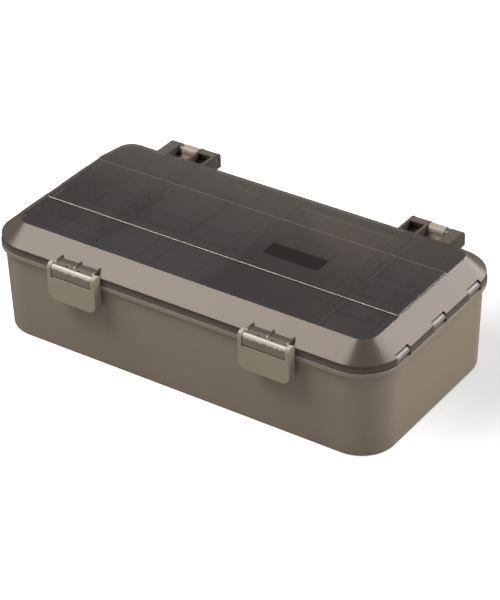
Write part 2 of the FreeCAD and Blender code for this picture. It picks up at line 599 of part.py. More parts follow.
def make_latch_lug():
    """Lug for a latch, with a round nose, three gussets, two moulding pockets and a bore."""
    body = new_body("latch_lug")
    front = f"({LATCH_Y} - Sizes.lug_radius)"
    above = f"({LATCH_Z} + Sizes.lug_radius)"
    foot = f"({LATCH_Z} - sqrt(Sizes.lug_sweep^2 - Sizes.lug_radius^2))"
    root = f"(Sizes.lid_wall / 2 - {WALL_SIDE})"
    slope_meets = f"(({above} - {LID_FOOT}) * {SLOPE_RUN} / Sizes.lid_slope_height - {WALL_SIDE})"
    outline = new_sketch(body, "lug_outline", "YZ_Plane", LUG_LEFT)
    add_polygon(outline, [(front, foot), (root, foot), (root, f"{LID_FOOT} - Sizes.lid_wall / 2"),
                          (f"{slope_meets} + Sizes.lid_wall / 2", above), (LATCH_Y, above),
                          (LATCH_Y, LATCH_Z), (front, LATCH_Z)])
    pad(outline, "lug", LUG_WIDTH)
    nose = new_sketch(body, "lug_nose_outline", "YZ_Plane", LUG_LEFT)
    add_circle(nose, LATCH_Y, LATCH_Z, "Sizes.lug_radius")
    pad(nose, "lug_nose", LUG_WIDTH)

    crest = f"({above} + Sizes.gusset_rise)"
    crest_meets = f"(({crest} - {LID_FOOT}) * {SLOPE_RUN} / Sizes.lid_slope_height - {WALL_SIDE})"
    for index in range(3):
        start = f"{LUG_LEFT} + ({LUG_WIDTH} - Sizes.gusset_width) * {index} / 2"
        gusset = new_sketch(body, f"gusset_{index + 1}_outline", "YZ_Plane", start)
        add_polygon(gusset, [(f"{LATCH_Y} + Sizes.gusset_setback", f"{above} - Sizes.lid_wall / 4"),
                             (f"{slope_meets} + Sizes.lid_wall / 4", f"{above} - Sizes.lid_wall / 4"),
                             (f"{crest_meets} + Sizes.lid_wall / 4", crest),
                             (f"{LATCH_Y} + Sizes.gusset_setback + Sizes.gusset_rise", crest)])
        pad(gusset, f"gusset_{index + 1}", "Sizes.gusset_width")

    dimples = new_sketch(body, "lug_pocket_outlines", "XY_Plane", f"{above} - Sizes.lug_pocket_depth")
    for side in (-1, 1):
        middle = f"({LATCH_CENTRE} + {side} * Sizes.lug_pocket_pitch / 2)"
        add_box(dimples, f"{middle} - Sizes.lug_pocket_width / 2", f"{middle} + Sizes.lug_pocket_width / 2",
                f"{LATCH_Y} - Sizes.lug_pocket_width / 4", f"{LATCH_Y} + Sizes.lug_pocket_width / 2")
    pocket(dimples, "lug_pockets", "Sizes.lug_pocket_depth + Sizes.overshoot")
    bore = new_sketch(body, "lug_bore_outline", "YZ_Plane", LUG_LEFT)
    add_circle(bore, LATCH_Y, LATCH_Z, "Sizes.latch_pin_radius")
    pocket(bore, "lug_bore", LUG_WIDTH)
    return body


def make_lid_shell():
    """Clear lid: the shell with its rails and lips, joined to its hinge arms and latch lugs."""
    body = new_body("lid_form")
    make_lid_form(body)
    hollow_lid(body)
    add_locating_lips(body)
    add_end_rails(body)
    fittings = [make_inner_arm(), make_outer_arm(), make_latch_lug()]
    for fitting in tuple(fittings):
        twin = doc.addObject("Part::Mirroring", f"left_{fitting.Name}")
        twin.Source = fitting
        twin.Normal = FreeCAD.Vector(1, 0, 0)
        fittings.append(twin)
    doc.recompute()
    return join("MultiFuse", "lid_shell", [body, *fittings])


# Latches

def add_latch_profile(sketch, foot):
    """The latch's side outline: upright front and back, and a top that is round about the pivot."""
    front, back, axis, level = (value(item) for item in (LATCH_FRONT, LATCH_BACK, LATCH_Y, LATCH_Z))
    radius = axis - front
    rise = (radius**2 - (back - axis)**2)**0.5
    points = [FreeCAD.Vector(front, level, 0), FreeCAD.Vector(front, value(foot), 0),
              FreeCAD.Vector(back, value(foot), 0), FreeCAD.Vector(back, level + rise, 0)]
    for start, end in zip(points, points[1:]):
        sketch.addGeometry(Part.LineSegment(start, end), False)
    crown = FreeCAD.Vector(axis, level + radius, 0)
    sketch.addGeometry(Part.Arc(points[3], crown, points[0]), False)
    for index in range(3):
        if index:
            sketch.addConstraint(Sketcher.Constraint("Coincident", index - 1, 2, index, 1))
        direction = "Horizontal" if index == 1 else "Vertical"
        sketch.addConstraint(Sketcher.Constraint(direction, index))
    sketch.addConstraint(Sketcher.Constraint("Coincident", 2, 2, 3, 1))
    sketch.addConstraint(Sketcher.Constraint("Tangent", 3, 2, 0, 1))
    place_point(sketch, 0, 2, LATCH_FRONT, foot)
    bind(sketch, Sketcher.Constraint("DistanceX", -1, 1, 1, 2, back), LATCH_BACK)
    place_point(sketch, 3, 3, LATCH_Y, LATCH_Z)


def make_latch(name, side):
    """Framed latch: front plate with a window, two cheeks with round ears, and a hook."""
    body = new_body(name)
    left = f"({side} * {LATCH_CENTRE} - Sizes.latch_width / 2)"
    right = f"({side} * {LATCH_CENTRE} + Sizes.latch_width / 2)"
    foot = f"({LATCH_Z} - Sizes.latch_drop)"
    outline = new_sketch(body, "latch_outline", "YZ_Plane", left)
    add_latch_profile(outline, foot)
    frame = pad(outline, "latch_frame", "Sizes.latch_width")

    def lower_corner(edge):
        box = edge.BoundBox
        return box.XLength < FLAT and box.ZLength < FLAT and abs(box.ZMin - value(foot)) < NEAR
    cornered = dress_edges("Fillet", frame, "latch_corners", "Sizes.latch_corner", lower_corner)

    def outer_edge(edge):
        box = edge.BoundBox
        in_front = box.YLength < FLAT and abs(box.YMin - value(LATCH_FRONT)) < NEAR
        round_ear = box.XLength < FLAT and box.ZMax > value(LATCH_Z) + NEAR and box.YLength > NEAR
        return round_ear or (in_front and edge.CenterOfMass.z < value(LATCH_Z) - NEAR)
    dress_edges("Fillet", cornered, "latch_rounding", "Sizes.latch_edge", outer_edge)

    inner_left = f"({left} + Sizes.latch_cheek)"
    inner_right = f"({right} - Sizes.latch_cheek)"
    opening = new_sketch(body, "latch_window_outline", "XZ_Plane", f"-({LATCH_BACK} + Sizes.overshoot)")
    add_box(opening, inner_left, inner_right, f"{LATCH_Z} - Sizes.window_drop",
            f"{LATCH_Z} + Sizes.ear_radius + Sizes.overshoot")
    pocket(opening, "latch_window", "Sizes.latch_depth + 2 * Sizes.overshoot")
    back = new_sketch(body, "latch_hollow_outline", "XZ_Plane", f"-({LATCH_FRONT} + Sizes.latch_plate)")
    add_box(back, inner_left, inner_right, f"{foot} + Sizes.latch_plate", f"{LATCH_Z} - Sizes.window_drop")
    pocket(back, "latch_hollow", "Sizes.latch_depth", reverse=False)

    hook = new_sketch(body, "hook_outline", "YZ_Plane", inner_left)
    hook_top = f"({LATCH_Z} - Sizes.hook_drop)"
    hook_tip = "(Sizes.hook_reach - Sizes.rim_width / 2)"
    plate_back = f"({LATCH_FRONT} + Sizes.latch_plate)"
    add_polygon(hook, [(f"{plate_back} - Sizes.latch_plate / 2", f"{hook_top} - 2 * Sizes.hook_height"),
                       (plate_back, f"{hook_top} - 2 * Sizes.hook_height"),
                       (hook_tip, f"{hook_top} - Sizes.hook_height"), (hook_tip, hook_top),
                       (f"{plate_back} - Sizes.latch_plate / 2", hook_top)])
    pad(hook, "hook", "Sizes.latch_width - 2 * Sizes.latch_cheek")

    for index, start in enumerate((inner_left, inner_right)):
        bore = new_sketch(body, f"ear_bore_{index + 1}_outline", "YZ_Plane", start)
        add_circle(bore, LATCH_Y, LATCH_Z, "Sizes.latch_pin_radius + Sizes.pin_clearance")
        pocket(bore, f"ear_bore_{index + 1}", "Sizes.ear_bore_depth", reverse=index == 1)
    return body


# Covers

def make_end_cover(name, side):
    """Plate with three knuckles on its outer edge and a finger tab on its free edge."""
    body = new_body(name)
    rail_reach = f"sqrt(({COVER_X} - {RAIL_FACE})^2 + ({COVER_Z} - {LID_BOTTOM})^2)"
    outer = f"({side} * ({COVER_X} - {rail_reach} - Sizes.side_clearance))"
    inner = f"({side} * ({END_WALL} - Sizes.divider_wall / 2))"
    plate = new_sketch(body, "cover_outline", "XY_Plane", COVER_BOTTOM)
    add_box(plate, inner, outer, f"-{COVER_SIDE}", COVER_SIDE)
    cover = pad(plate, "cover_plate", "Sizes.cover_thickness")

    def corner_at(across):
        return lambda edge: any(upright_edge(across, f"{sign} * {COVER_SIDE}")(edge)
                                for sign in (-1, 1))
    rounded = dress_edges("Fillet", cover, "cover_outer_corners", "Sizes.cover_corner", corner_at(outer))
    dress_edges("Fillet", rounded, "cover_inner_corners", "Sizes.cover_inner_corner", corner_at(inner))

    tongues = new_sketch(body, "tongue_outlines", "XY_Plane", COVER_BOTTOM)
    axis = f"({side} * {COVER_X})"
    for centre in knob_centres():
        add_box(tongues, f"{outer} - {side} * Sizes.knob_radius * 2", axis,
                f"{centre} - Sizes.knob_width / 2", f"{centre} + Sizes.knob_width / 2")
    pad(tongues, "tongues", "Sizes.cover_thickness")
    for index, centre in enumerate(knob_centres()):
        front = f"-({centre} + Sizes.knob_width / 2)"
        ring = new_sketch(body, f"knob_{index + 1}_outline", "XZ_Plane", front)
        add_circle(ring, axis, COVER_Z, "Sizes.knob_radius")
        pad(ring, f"knob_{index + 1}", "Sizes.knob_width")
    bore = new_sketch(body, "cover_bore_outline", "XZ_Plane", RAIL_HALF)
    add_circle(bore, axis, COVER_Z, "Sizes.cover_pin_radius + Sizes.pin_clearance")
    pocket(bore, "cover_bore", f"2 * {RAIL_HALF}", reverse=False)

    tab = new_sketch(body, "finger_tab_outline", "XY_Plane", COVER_BOTTOM)
    tab_face = f"({side} * ({END_WALL} + Sizes.divider_wall / 2 + Sizes.organiser_gap))"
    add_box(tab, tab_face, f"{tab_face} + {side} * Sizes.tab_thickness",
            f"{ROW_PITCH} / 2 - Sizes.tab_width / 2", f"{ROW_PITCH} / 2 + Sizes.tab_width / 2")
    pad(tab, "finger_tab", "Sizes.cover_thickness + Sizes.tab_height")
    return body


def make_middle_cover():
    """Plate with a thumb notch in its rear edge and four snap tabs, for the left half of the middle."""
    body = new_body("middle_cover")
    wall = "Sizes.divider_wall / 2"
    left, right = f"(-Sizes.centre_half_length - {wall})", f"({wall})"
    plate = new_sketch(body, "cover_outline", "XY_Plane", COVER_BOTTOM)
    add_box(plate, left, right, f"-{COVER_SIDE}", COVER_SIDE)
    cover = pad(plate, "cover_plate", "Sizes.cover_thickness")

    def corner(edge):
        return any(upright_edge(across, f"{sign} * {COVER_SIDE}")(edge)
                   for across in (left, right) for sign in (-1, 1))
    dress_edges("Fillet", cover, "cover_corners", "Sizes.cover_inner_corner", corner)
    notch = new_sketch(body, "notch_outline", "XY_Plane", COVER_BOTTOM)
    radius = "(Sizes.scoop_radius - Sizes.divider_wall)"
    add_circle(notch, "-Sizes.quarter_divider", SCOOP_CENTRE, radius)
    pocket(notch, "thumb_notch", "Sizes.cover_thickness")
    mouth = new_sketch(body, "notch_mouth_outline", "XY_Plane", COVER_BOTTOM)
    add_box(mouth, f"-Sizes.quarter_divider - {radius}", f"-Sizes.quarter_divider + {radius}",
            SCOOP_CENTRE, f"{COVER_SIDE} + Sizes.overshoot")
    pocket(mouth, "notch_mouth", "Sizes.cover_thickness")

    tabs = new_sketch(body, "snap_tab_outlines", "XY_Plane", COVER_BOTTOM)
    gap = f"({wall} + Sizes.organiser_gap)"
    faces = [(f"(-Sizes.centre_half_length + {gap})", 1), (f"(-{gap})", -1)]
    for face, direction in faces:
        for sign in (-1, 1):
            middle = f"({sign} * ({ROW_PITCH} + {ROW_PITCH} / 2))"
            add_box(tabs, face, f"{face} + {direction} * Sizes.tab_thickness",
                    f"{middle} - Sizes.tab_width / 2", f"{middle} + Sizes.tab_width / 2")
    pad(tabs, "snap_tabs", "Sizes.cover_thickness + Sizes.tab_height")
    return body


# Organisers

def make_organiser_room():
    """The space inside the lid that the organisers fill, one gap in from its sides."""
    body = new_body("organiser_room")
    wall = "Sizes.bead_width + Sizes.lid_wall + Sizes.organiser_gap"
    inner_foot = f"({LID_FOOT} - (Sizes.lid_wall + Sizes.organiser_gap) * {FOOT_DROP})"
    lower = inset_outline(body, "room_floor_outline", DIVIDER_BOTTOM, wall)
    pad(lower, "room_upright", f"{inner_foot} - {DIVIDER_BOTTOM}")
    foot = inset_outline(body, "room_foot_outline", inner_foot, wall)
    ceiling_draw = (f"((Sizes.lid_wall + Sizes.organiser_gap) * {SLOPE_LENGTH} / Sizes.lid_slope_height"
                    f" - Sizes.lid_wall * {SLOPE_RUN} / Sizes.lid_slope_height)")
    ceiling = top_outline(body, "room_top_outline", LID_CEILING, ceiling_draw)
    loft("AdditiveLoft", "room_slope", foot, ceiling)
    for side in (-1, 1):
        rail = new_sketch(body, f"rail_room_{side + 2}_outline", "XY_Plane", DIVIDER_BOTTOM)
        add_box(rail, f"{side} * ({RAIL_FACE} - Sizes.organiser_gap)", f"{side} * Sizes.rim_length / 2",
                "-Sizes.rim_width / 2", "Sizes.rim_width / 2")
        pocket(rail, f"rail_room_{side + 2}", f"{RAIL_TOP} + Sizes.organiser_gap - {DIVIDER_BOTTOM}")
    return body


def make_rib(name, left, right, front, rear):
    """One divider, a plain box from just above the covers to the lid's ceiling."""
    item = doc.addObject("Part::Box", name)
    item.setExpression("Length", f"{right} - ({left})")
    item.setExpression("Width", f"{rear} - ({front})")
    item.setExpression("Height", f"{LID_CEILING} - {DIVIDER_BOTTOM}")
    for letter, expression in zip("xyz", (left, front, DIVIDER_BOTTOM)):
        item.setExpression(f"Placement.Base.{letter}", expression)
    return item


def make_cross_rib(name, across):
    """A divider from front to rear."""
    half = "Sizes.divider_wall / 2"
    return make_rib(name, f"{across} - {half}", f"{across} + {half}",
                    "-Sizes.rim_width / 2", "Sizes.rim_width / 2")


def make_long_rib(name, left, right, along):
    """A divider from left to right."""
    half = "Sizes.divider_wall / 2"
    return make_rib(name, left, right, f"{along} - {half}", f"{along} + {half}")


def join(kind, name, items):
    """A boolean of several objects."""
    feature = doc.addObject(f"Part::{kind}", name)
    feature.Shapes = items
    feature.Label = name
    doc.recompute()
    return feature


def make_end_organiser(name, side, room):
    """Grid of two by four cells over an end cover."""
    near, far = f"({side} * {END_WALL})", f"({side} * Sizes.rim_length / 2)"
    left, right = (near, far) if side > 0 else (far, near)
    ribs = [make_cross_rib(f"{name}_wall", near),
            make_cross_rib(f"{name}_divider", f"({side} * {END_DIVIDER})")]
    for step in (-1, 0, 1):
        ribs.append(make_long_rib(f"{name}_row_{step + 2}", left, right, f"({step} * {ROW_PITCH})"))
    return join("MultiCommon", name, [join("MultiFuse", f"{name}_ribs", ribs), room])


def make_thumb_scoop():
    """Wall round the thumb notch: half a ring with straight legs to the rear."""
    ring = new_body("thumb_scoop_wall")
    outer = "(Sizes.scoop_radius + Sizes.divider_wall)"
    for label, radius in (("outer", outer), ("inner", "Sizes.scoop_radius")):
        turn = new_sketch(ring, f"scoop_{label}_turn", "XY_Plane", DIVIDER_BOTTOM)
        add_circle(turn, "-Sizes.quarter_divider", SCOOP_CENTRE, radius)
        legs = new_sketch(ring, f"scoop_{label}_legs", "XY_Plane", DIVIDER_BOTTOM)
        add_box(legs, f"-Sizes.quarter_divider - {radius}", f"-Sizes.quarter_divider + {radius}",
                SCOOP_CENTRE, "Sizes.rim_width / 2 + Sizes.overshoot")
        for outline in (turn, legs):
            carry = pad if label == "outer" else pocket
            carry(outline, outline.Name.replace("scoop", "cut" if label == "inner" else "fill"),
                  f"{LID_CEILING} - {DIVIDER_BOTTOM}")
    return ring


def make_middle_organiser(room):
    """Two by two cells on the left, round the thumb scoop, and one long cell on the right."""
    end = "Sizes.centre_half_length"
    half = "Sizes.divider_wall / 2"
    ribs = [make_cross_rib("middle_left_wall", f"(-{end})"), make_cross_rib("middle_right_wall", end),
            make_cross_rib("middle_divider", "0"), make_long_rib("middle_row", f"(-{end})", "0", "0"),
            make_rib("middle_quarter",
                     f"-Sizes.quarter_divider - {half}", f"-Sizes.quarter_divider + {half}",
                     "-Sizes.rim_width / 2", f"{SCOOP_CENTRE} - Sizes.scoop_radius - {half}"),
            make_thumb_scoop()]
    for side, name in ((-1, "middle_front_rail"), (1, "middle_rear_rail")):
        along = f"({side} * ({WALL_SIDE} - Sizes.lid_wall - Sizes.organiser_gap - {half}))"
        ribs.append(make_long_rib(name, f"(-{end})", end, along))
    return join("MultiCommon", "middle_organiser", [join("MultiFuse", "middle_ribs", ribs), room])


# Pins

ALONG_X = FreeCAD.Vector(1, 0, 0)
ALONG_Y = FreeCAD.Vector(0, 1, 0)


def make_pins(side, hand):
    """The three pins of one half of the box: rear hinge, front latch and end cover."""
    length = f"({HINGE_PIN_END} - {HINGE_PIN_START})"
    start = HINGE_PIN_START if side > 0 else f"(-{HINGE_PIN_END})"
    hinge = make_pin(f"hinge_pin_{hand}", "Sizes.hinge_pin_radius", length,
                     (start, HINGE_Y, HINGE_Z), ALONG_X)
    reach = "(Sizes.ear_bore_depth - Sizes.side_clearance)"
    left = f"({side} * {LATCH_CENTRE} - Sizes.latch_width / 2 + Sizes.latch_cheek - {reach})"
    length = f"Sizes.latch_width - 2 * Sizes.latch_cheek + 2 * {reach}"
    latch = make_pin(f"latch_pin_{hand}", "Sizes.latch_pin_radius", length,
                     (left, LATCH_Y, LATCH_Z), ALONG_X)
    half = f"({RAIL_HALF} - Sizes.pin_inset)"
    cover = make_pin(f"cover_pin_{hand}", "Sizes.cover_pin_radius", f"2 * {half}",
                     (f"({side} * {COVER_X})", f"(-{half})", COVER_Z), ALONG_Y)
    return [hinge, latch, cover]


def check(pieces):
    """Stop if any object has failed or any piece is not one valid solid."""
    doc.recompute()
    for item in doc.Objects:
        if "Invalid" in item.State or "Error" in item.State:
            raise RuntimeError(f"{item.Name} failed: {item.State}")
    for piece in pieces:
        shape = piece.Shape
        if shape.isNull() or not shape.isValid() or len(shape.Solids) != 1:
            raise RuntimeError(f"{piece.Label} is not one valid solid")


def main():
    """Make every piece, check them and write one STEP file each."""
    room = make_organiser_room()
    pieces = [make_base_shell(), make_lid_shell(), make_middle_organiser(room), make_middle_cover()]
    for side, hand in ((-1, "left"), (1, "right")):
        pieces.append(make_end_organiser(f"end_organiser_{hand}", side, room))
        pieces.append(make_end_cover(f"end_cover_{hand}", side))
        pieces.append(make_latch(f"latch_{hand}", side))
        pieces.extend(make_pins(side, hand))
    check(pieces)
    os.makedirs("parts", exist_ok=True)
    for piece in pieces:
        piece.Shape.exportStep(f"parts/{piece.Label}.step")
        print(piece.Label, round(piece.Shape.Volume, 1))


main()
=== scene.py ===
"""Looks for a two-latch tackle box: moulded plastic finishes, a printed plate and a plain studio.

The solids come packed, in metres, with +Z up and the latches towards -Y.  Every finish is
worked out from object coordinates, so it stays on its piece when a joint moves.
"""
import math
import bpy
import numpy as np
from mathutils import Matrix, Vector


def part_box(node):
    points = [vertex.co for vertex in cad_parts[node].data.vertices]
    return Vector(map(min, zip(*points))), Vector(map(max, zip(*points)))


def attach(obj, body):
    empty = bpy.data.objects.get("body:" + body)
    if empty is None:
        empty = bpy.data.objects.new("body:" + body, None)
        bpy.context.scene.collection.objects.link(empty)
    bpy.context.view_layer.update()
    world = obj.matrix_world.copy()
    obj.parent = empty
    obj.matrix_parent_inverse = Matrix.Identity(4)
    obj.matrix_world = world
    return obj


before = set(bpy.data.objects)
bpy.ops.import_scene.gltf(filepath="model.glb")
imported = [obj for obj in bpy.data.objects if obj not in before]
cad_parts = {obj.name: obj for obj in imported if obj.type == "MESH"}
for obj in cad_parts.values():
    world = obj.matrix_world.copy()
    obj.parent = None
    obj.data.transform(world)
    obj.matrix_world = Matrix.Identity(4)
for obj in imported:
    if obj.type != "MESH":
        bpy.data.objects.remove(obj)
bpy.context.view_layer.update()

bl_info = {
    "name": "Tackle Box Finishes",
    "version": (1, 0, 0),
    "blender": (4, 5, 0),
    "location": "View3D > Sidebar > Tackle Box",
    "description": "Moulded plastic finishes and a studio for a tackle box",
    "category": "Material",
}

# Sizes of the mouldings.  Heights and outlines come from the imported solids.

MM = 0.001
LID_WALL = 2.0 * MM
COVER_GAP = 0.8 * MM  # from the tray's rim up to the covers
BAND_RISE = 0.9 * MM  # of the raised band above the rest of the top
FOOT_RISE = 6.6 * MM  # from the tray's rim up to the foot of the lid's slopes
TOP_INSET = 17.6 * MM  # of the top's edge from the rim's, seen from above
TOP_CORNER = 12.6 * MM

RIM_X, RIM_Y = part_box("base_shell")[1].x, -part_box("base_shell")[0].y
RIM_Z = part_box("middle_cover")[0].z - COVER_GAP
FOOT_Z = RIM_Z + FOOT_RISE
TOP_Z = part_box("lid_shell")[1].z - BAND_RISE
CEILING_Z = TOP_Z - LID_WALL


def middle_of(node):
    """The middle of a solid's box."""
    return [(low + high) / 2 for low, high in zip(*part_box(node))]


HINGE_PIN = middle_of("hinge_pin_right")
LATCH_PIN = middle_of("latch_pin_right")
HINGE_WALL = RIM_Y - HINGE_PIN[1]
SLEEVE_SPAN = (91.2 * MM, 104.2 * MM)  # in X, on the right hinge
WEB_SPAN = (120.8 * MM, 127.0 * MM)
SLEEVE_ARC_STEPS = 12

# Where the lid's finishes change: each pair is where a change starts and where it is complete.

SHELL_EDGE = 0.1 * MM
WINDOW_SOFT = 0.5 * MM
WINDOW_Z = (TOP_Z - 0.4 * MM, TOP_Z - 0.1 * MM)
CEILING_REACH = (0.4 * MM, 0.2 * MM)
# BAND_Z, BAND_STEPS and LIP_Z place the painted highlight lines along the band's steps and the
# lid's lower lip.
BAND_Z = (TOP_Z + 0.4 * MM, TOP_Z + 0.6 * MM)
BAND_STEPS = ((-32.1 * MM, 0.3 * MM), (35.3 * MM, 0.6 * MM))  # middle and half width of each line
LIP_Z = (RIM_Z + 0.8 * MM, RIM_Z + 0.5 * MM)
SKIRT_FOOT_Z = (RIM_Z + 0.8 * MM, RIM_Z + 1.4 * MM)
SKIRT_TOP_Z = (FOOT_Z - 0.4 * MM, RIM_Z + 2.2 * MM)
SKIRT_END_X = (RIM_X - 22.0 * MM, RIM_X - 2.0 * MM)
SKIRT_END_SHARE = 0.4
REAR_Y = (-1.0 * MM, 1.0 * MM)
# Painted light on the clear top: lighter towards the hinges, and less so on the right.
REAR_LIGHT_Y = (-0.2 * RIM_Y, RIM_Y)
REAR_LIGHT_X = (0.2 * RIM_X, 0.9 * RIM_X)
REAR_LIGHT_RIGHT_SHARE = 0.45
# The lugs' scalloped painted highlight along the front, and painted shade on faces by which way
# they face.
CREST_Z = (LATCH_PIN[2] - 0.2 * MM, LATCH_PIN[2] + 1.4 * MM)
CREST_WAVE = (-0.6 * MM, 0.6 * MM)
CREST_WAVES = 260.0  # per metre
POCKET_Z = (LATCH_PIN[2] + 3.2 * MM, LATCH_PIN[2] + 2.8 * MM)
FACING_UP = (0.86, 0.96)
FACING_ASIDE = (0.5, 0.8)
LUG_TOP_SHADE = 0.55
LUG_SIDE_SHADE = 0.7
POCKET_SHARE = 0.5
PLATE_CORNER = 3.5 * MM
PLATE_SOFT = 0.15 * MM
PLATE_LINE = (-0.7 * MM, -0.5 * MM)
PLATE_LINE_INK = 0.6
PLATE_BAND_SOFT = 0.1 * MM

# Where the dividers are dense, from their level edges, and where the mouldings' ends start.

DENSE_EDGE = (0.6 * MM, 0.1 * MM)
KNOB_X = (RIM_X - 7.0 * MM, RIM_X - 6.0 * MM)

# Fine relief and unevenness of the plastics.

TRAY_GRAIN = 0.02 * MM
LATCH_GRAIN = 0.015 * MM
PIN_GRAIN = 0.005 * MM
SLEEVE_GRAIN = 0.004 * MM
PEEL_DEPTH = 0.004 * MM
PLASTIC_IOR = 1.5
CLEAR_ROUGHNESS = 0.3
GRAIN_CLOUD = 18.0  # per metre, as the other scales of noise are
PEEL_CLOUD = 9.0
NOISE_SPREAD = (0.3, 0.7)  # most of a noise lies between these
MOTTLE = (0.96, 1.04)
ROUGH_SPREAD = (-0.04, 0.05)
SCUFF_AMOUNT = 0.35
SCUFF_SHARE = 1.35
SCUFF_CLOUD = 35.0
SCUFF_LEVEL = (0.5, 0.68)
STREAK_TURN = (0.3, 0.2, 0.6)
STREAK_SCALE = (60.0, 900.0, 240.0)
STREAK_LEVEL = (0.66, 0.74)

# The studio.

FLOOR_RADIUS = 6.0
FLOOR_RINGS, FLOOR_SPOKES = 24, 96
FLOOR_ROUGHNESS = 0.9
FLOOR_SHINE = 0.1
# Middle and reach of the floor's painted shadow, where the camera's glow on it drops.
SHADOW_MIDDLE = (0.24, 0.13, 0.0)
SHADOW_REACH = (0.08, 0.30)
MIRROR_X = (0.1, 0.45)
LAMP_TARGET = Vector((0.0, 0.0, 0.05))
LAMP_DISTANCE = 1.7
FRONT_LAMP = ((-0.477, -0.302, 0.805), (1.27, 1.04))  # direction, and length and width
REAR_LAMP = ((0.45, 0.66, 0.60), (1.7, 1.42))
CAMERA_TARGET = Vector((0.0, 0.0, 0.045))
CAMERA_SHIFT = (0.006654, -0.007958)  # of the aim to the camera's right and up
SENSOR_WIDTH = 36.0
CLIP_END = 50.0
WHITE = (1.0, 1.0, 1.0, 1.0)

# Where nodes stand in the shader editor.

NODE_STEP = (190, -60)
NODE_ROWS = 5


# Shader trees

class Tree:
    """Short names for making and joining the nodes of one node tree."""

    def __init__(self, tree):
        self.tree = tree
        self.tree.nodes.clear()
        self.column = 0

    def node(self, kind, **settings):
        """A node of a kind, with its properties set."""
        node = self.tree.nodes.new(kind)
        node.location = (self.column * NODE_STEP[0], self.column % NODE_ROWS * NODE_STEP[1])
        self.column += 1
        for name, setting in settings.items():
            setattr(node, name, setting)
        return node

    def feed(self, socket, source):
        """Give a socket a number or colour, or a link from another socket."""
        if isinstance(source, bpy.types.NodeSocket):
            self.tree.links.new(source, socket)
        else:
            socket.default_value = source

    def math(self, operation, first, second=0.0):
        """One arithmetic step."""
        node = self.node("ShaderNodeMath", operation=operation)
        self.feed(node.inputs[0], first)
        self.feed(node.inputs[1], second)
        return node.outputs[0]

    def times(self, first, *others):
        """The product of several numbers."""
        for other in others:
            first = self.math("MULTIPLY", first, other)
        return first

    def most(self, first, *others):
        """The largest of several numbers."""
        for other in others:
            first = self.math("MAXIMUM", first, other)
        return first

    def off(self, number, centre=0.0):
        """How far a number is from a centre, on either side."""
        return self.math("ABSOLUTE", self.math("SUBTRACT", number, centre))

    def rest(self, mask):
        """One less a mask."""
        return self.math("SUBTRACT", 1.0, mask)

    def ramp(self, source, low, high, bottom=0.0, top=1.0):
        """A smooth change from bottom to top while the source goes from low to high."""
        node = self.node("ShaderNodeMapRange", interpolation_type="SMOOTHSTEP")
        for name, item in (("Value", source), ("From Min", low), ("From Max", high),
                           ("To Min", bottom), ("To Max", top)):
            self.feed(node.inputs[name], item)
        return node.outputs["Result"]

    def mix(self, factor, first, second):
        """A colour between two colours."""
        node = self.node("ShaderNodeMix", data_type="RGBA")
        for index, item in ((0, factor), (6, first), (7, second)):
            self.feed(node.inputs[index], item)
        return node.outputs[2]

    def blend(self, factor, first, second):
        """A number between two numbers."""
        node = self.node("ShaderNodeMix", data_type="FLOAT")
        for index, item in ((0, factor), (2, first), (3, second)):
            self.feed(node.inputs[index], item)
        return node.outputs[0]

    def place(self):
        """Object coordinates."""
        return self.node("ShaderNodeTexCoord").outputs["Object"]

    def split(self, vector):
        """The three parts of a vector."""
        node = self.node("ShaderNodeSeparateXYZ")
        self.feed(node.inputs[0], vector)
        return node.outputs

    def use(self, group, **inputs):
        """A shared node group with its own values; names use _ for a space."""
        node = self.node("ShaderNodeGroup", node_tree=group)
        for name, item in inputs.items():
            self.feed(node.inputs[name.replace("_", " ")], item)
        return node.outputs


def new_group(name, inputs, outputs):
    """An empty node group with named sockets, and its Group Input and Group Output nodes."""
    group = bpy.data.node_groups.new(name, "ShaderNodeTree")
    tree = Tree(group)
    for direction, sockets in (("INPUT", inputs), ("OUTPUT", outputs)):
        for label, kind in sockets.items():
            group.interface.new_socket(name=label, in_out=direction,
                                       socket_type=f"NodeSocket{kind}")
    return tree, tree.node("NodeGroupInput").outputs, tree.node("NodeGroupOutput").inputs


def mould_grain_group():
    """Moulded surface: fine noise for its height and a slow cloud for its uneven sheen."""
    tree, given, result = new_group("Mould grain",
                                    {"Vector": "Vector", "Grain": "Float", "Cloud": "Float"},
                                    {"Height": "Float", "Unevenness": "Float"})
    for scale, detail, outcome in (("Grain", 2.0, "Height"), ("Cloud", 3.0, "Unevenness")):
        noise = tree.node("ShaderNodeTexNoise")
        tree.feed(noise.inputs["Vector"], given["Vector"])
        tree.feed(noise.inputs["Scale"], given[scale])
        noise.inputs["Detail"].default_value = detail
        tree.feed(result[outcome], noise.outputs["Fac"])
    return tree.tree


def panel_mask_group():
    """1 inside a rectangle with round corners on the XY plane, 0 outside.

    The distance is that of a point to the rectangle shrunk by its corner radius, less the
    radius, and Soft is the width over which the mask fades.
    """
    tree, given, result = new_group("Panel mask",
                                    {"Vector": "Vector", "Centre": "Vector",
                                     "Half size": "Vector", "Radius": "Float", "Soft": "Float"},
                                    {"Mask": "Float", "Distance": "Float"})
    point, centre, half = (tree.split(given[name]) for name in ("Vector", "Centre", "Half size"))
    past = []
    for axis in (0, 1):
        edge = tree.math("SUBTRACT", half[axis], given["Radius"])
        past.append(tree.math("SUBTRACT", tree.off(point[axis], centre[axis]), edge))
    outside = [tree.math("POWER", tree.most(item, 0.0), 2.0) for item in past]
    corner = tree.math("SQRT", tree.math("ADD", *outside))
    inside = tree.math("MINIMUM", tree.most(*past), 0.0)
    distance = tree.math("SUBTRACT", tree.math("ADD", corner, inside), given["Radius"])
    fade = tree.math("DIVIDE", distance, given["Soft"])
    tree.feed(result["Mask"], tree.ramp(fade, 0.5, -0.5))
    tree.feed(result["Distance"], distance)
    return tree.tree


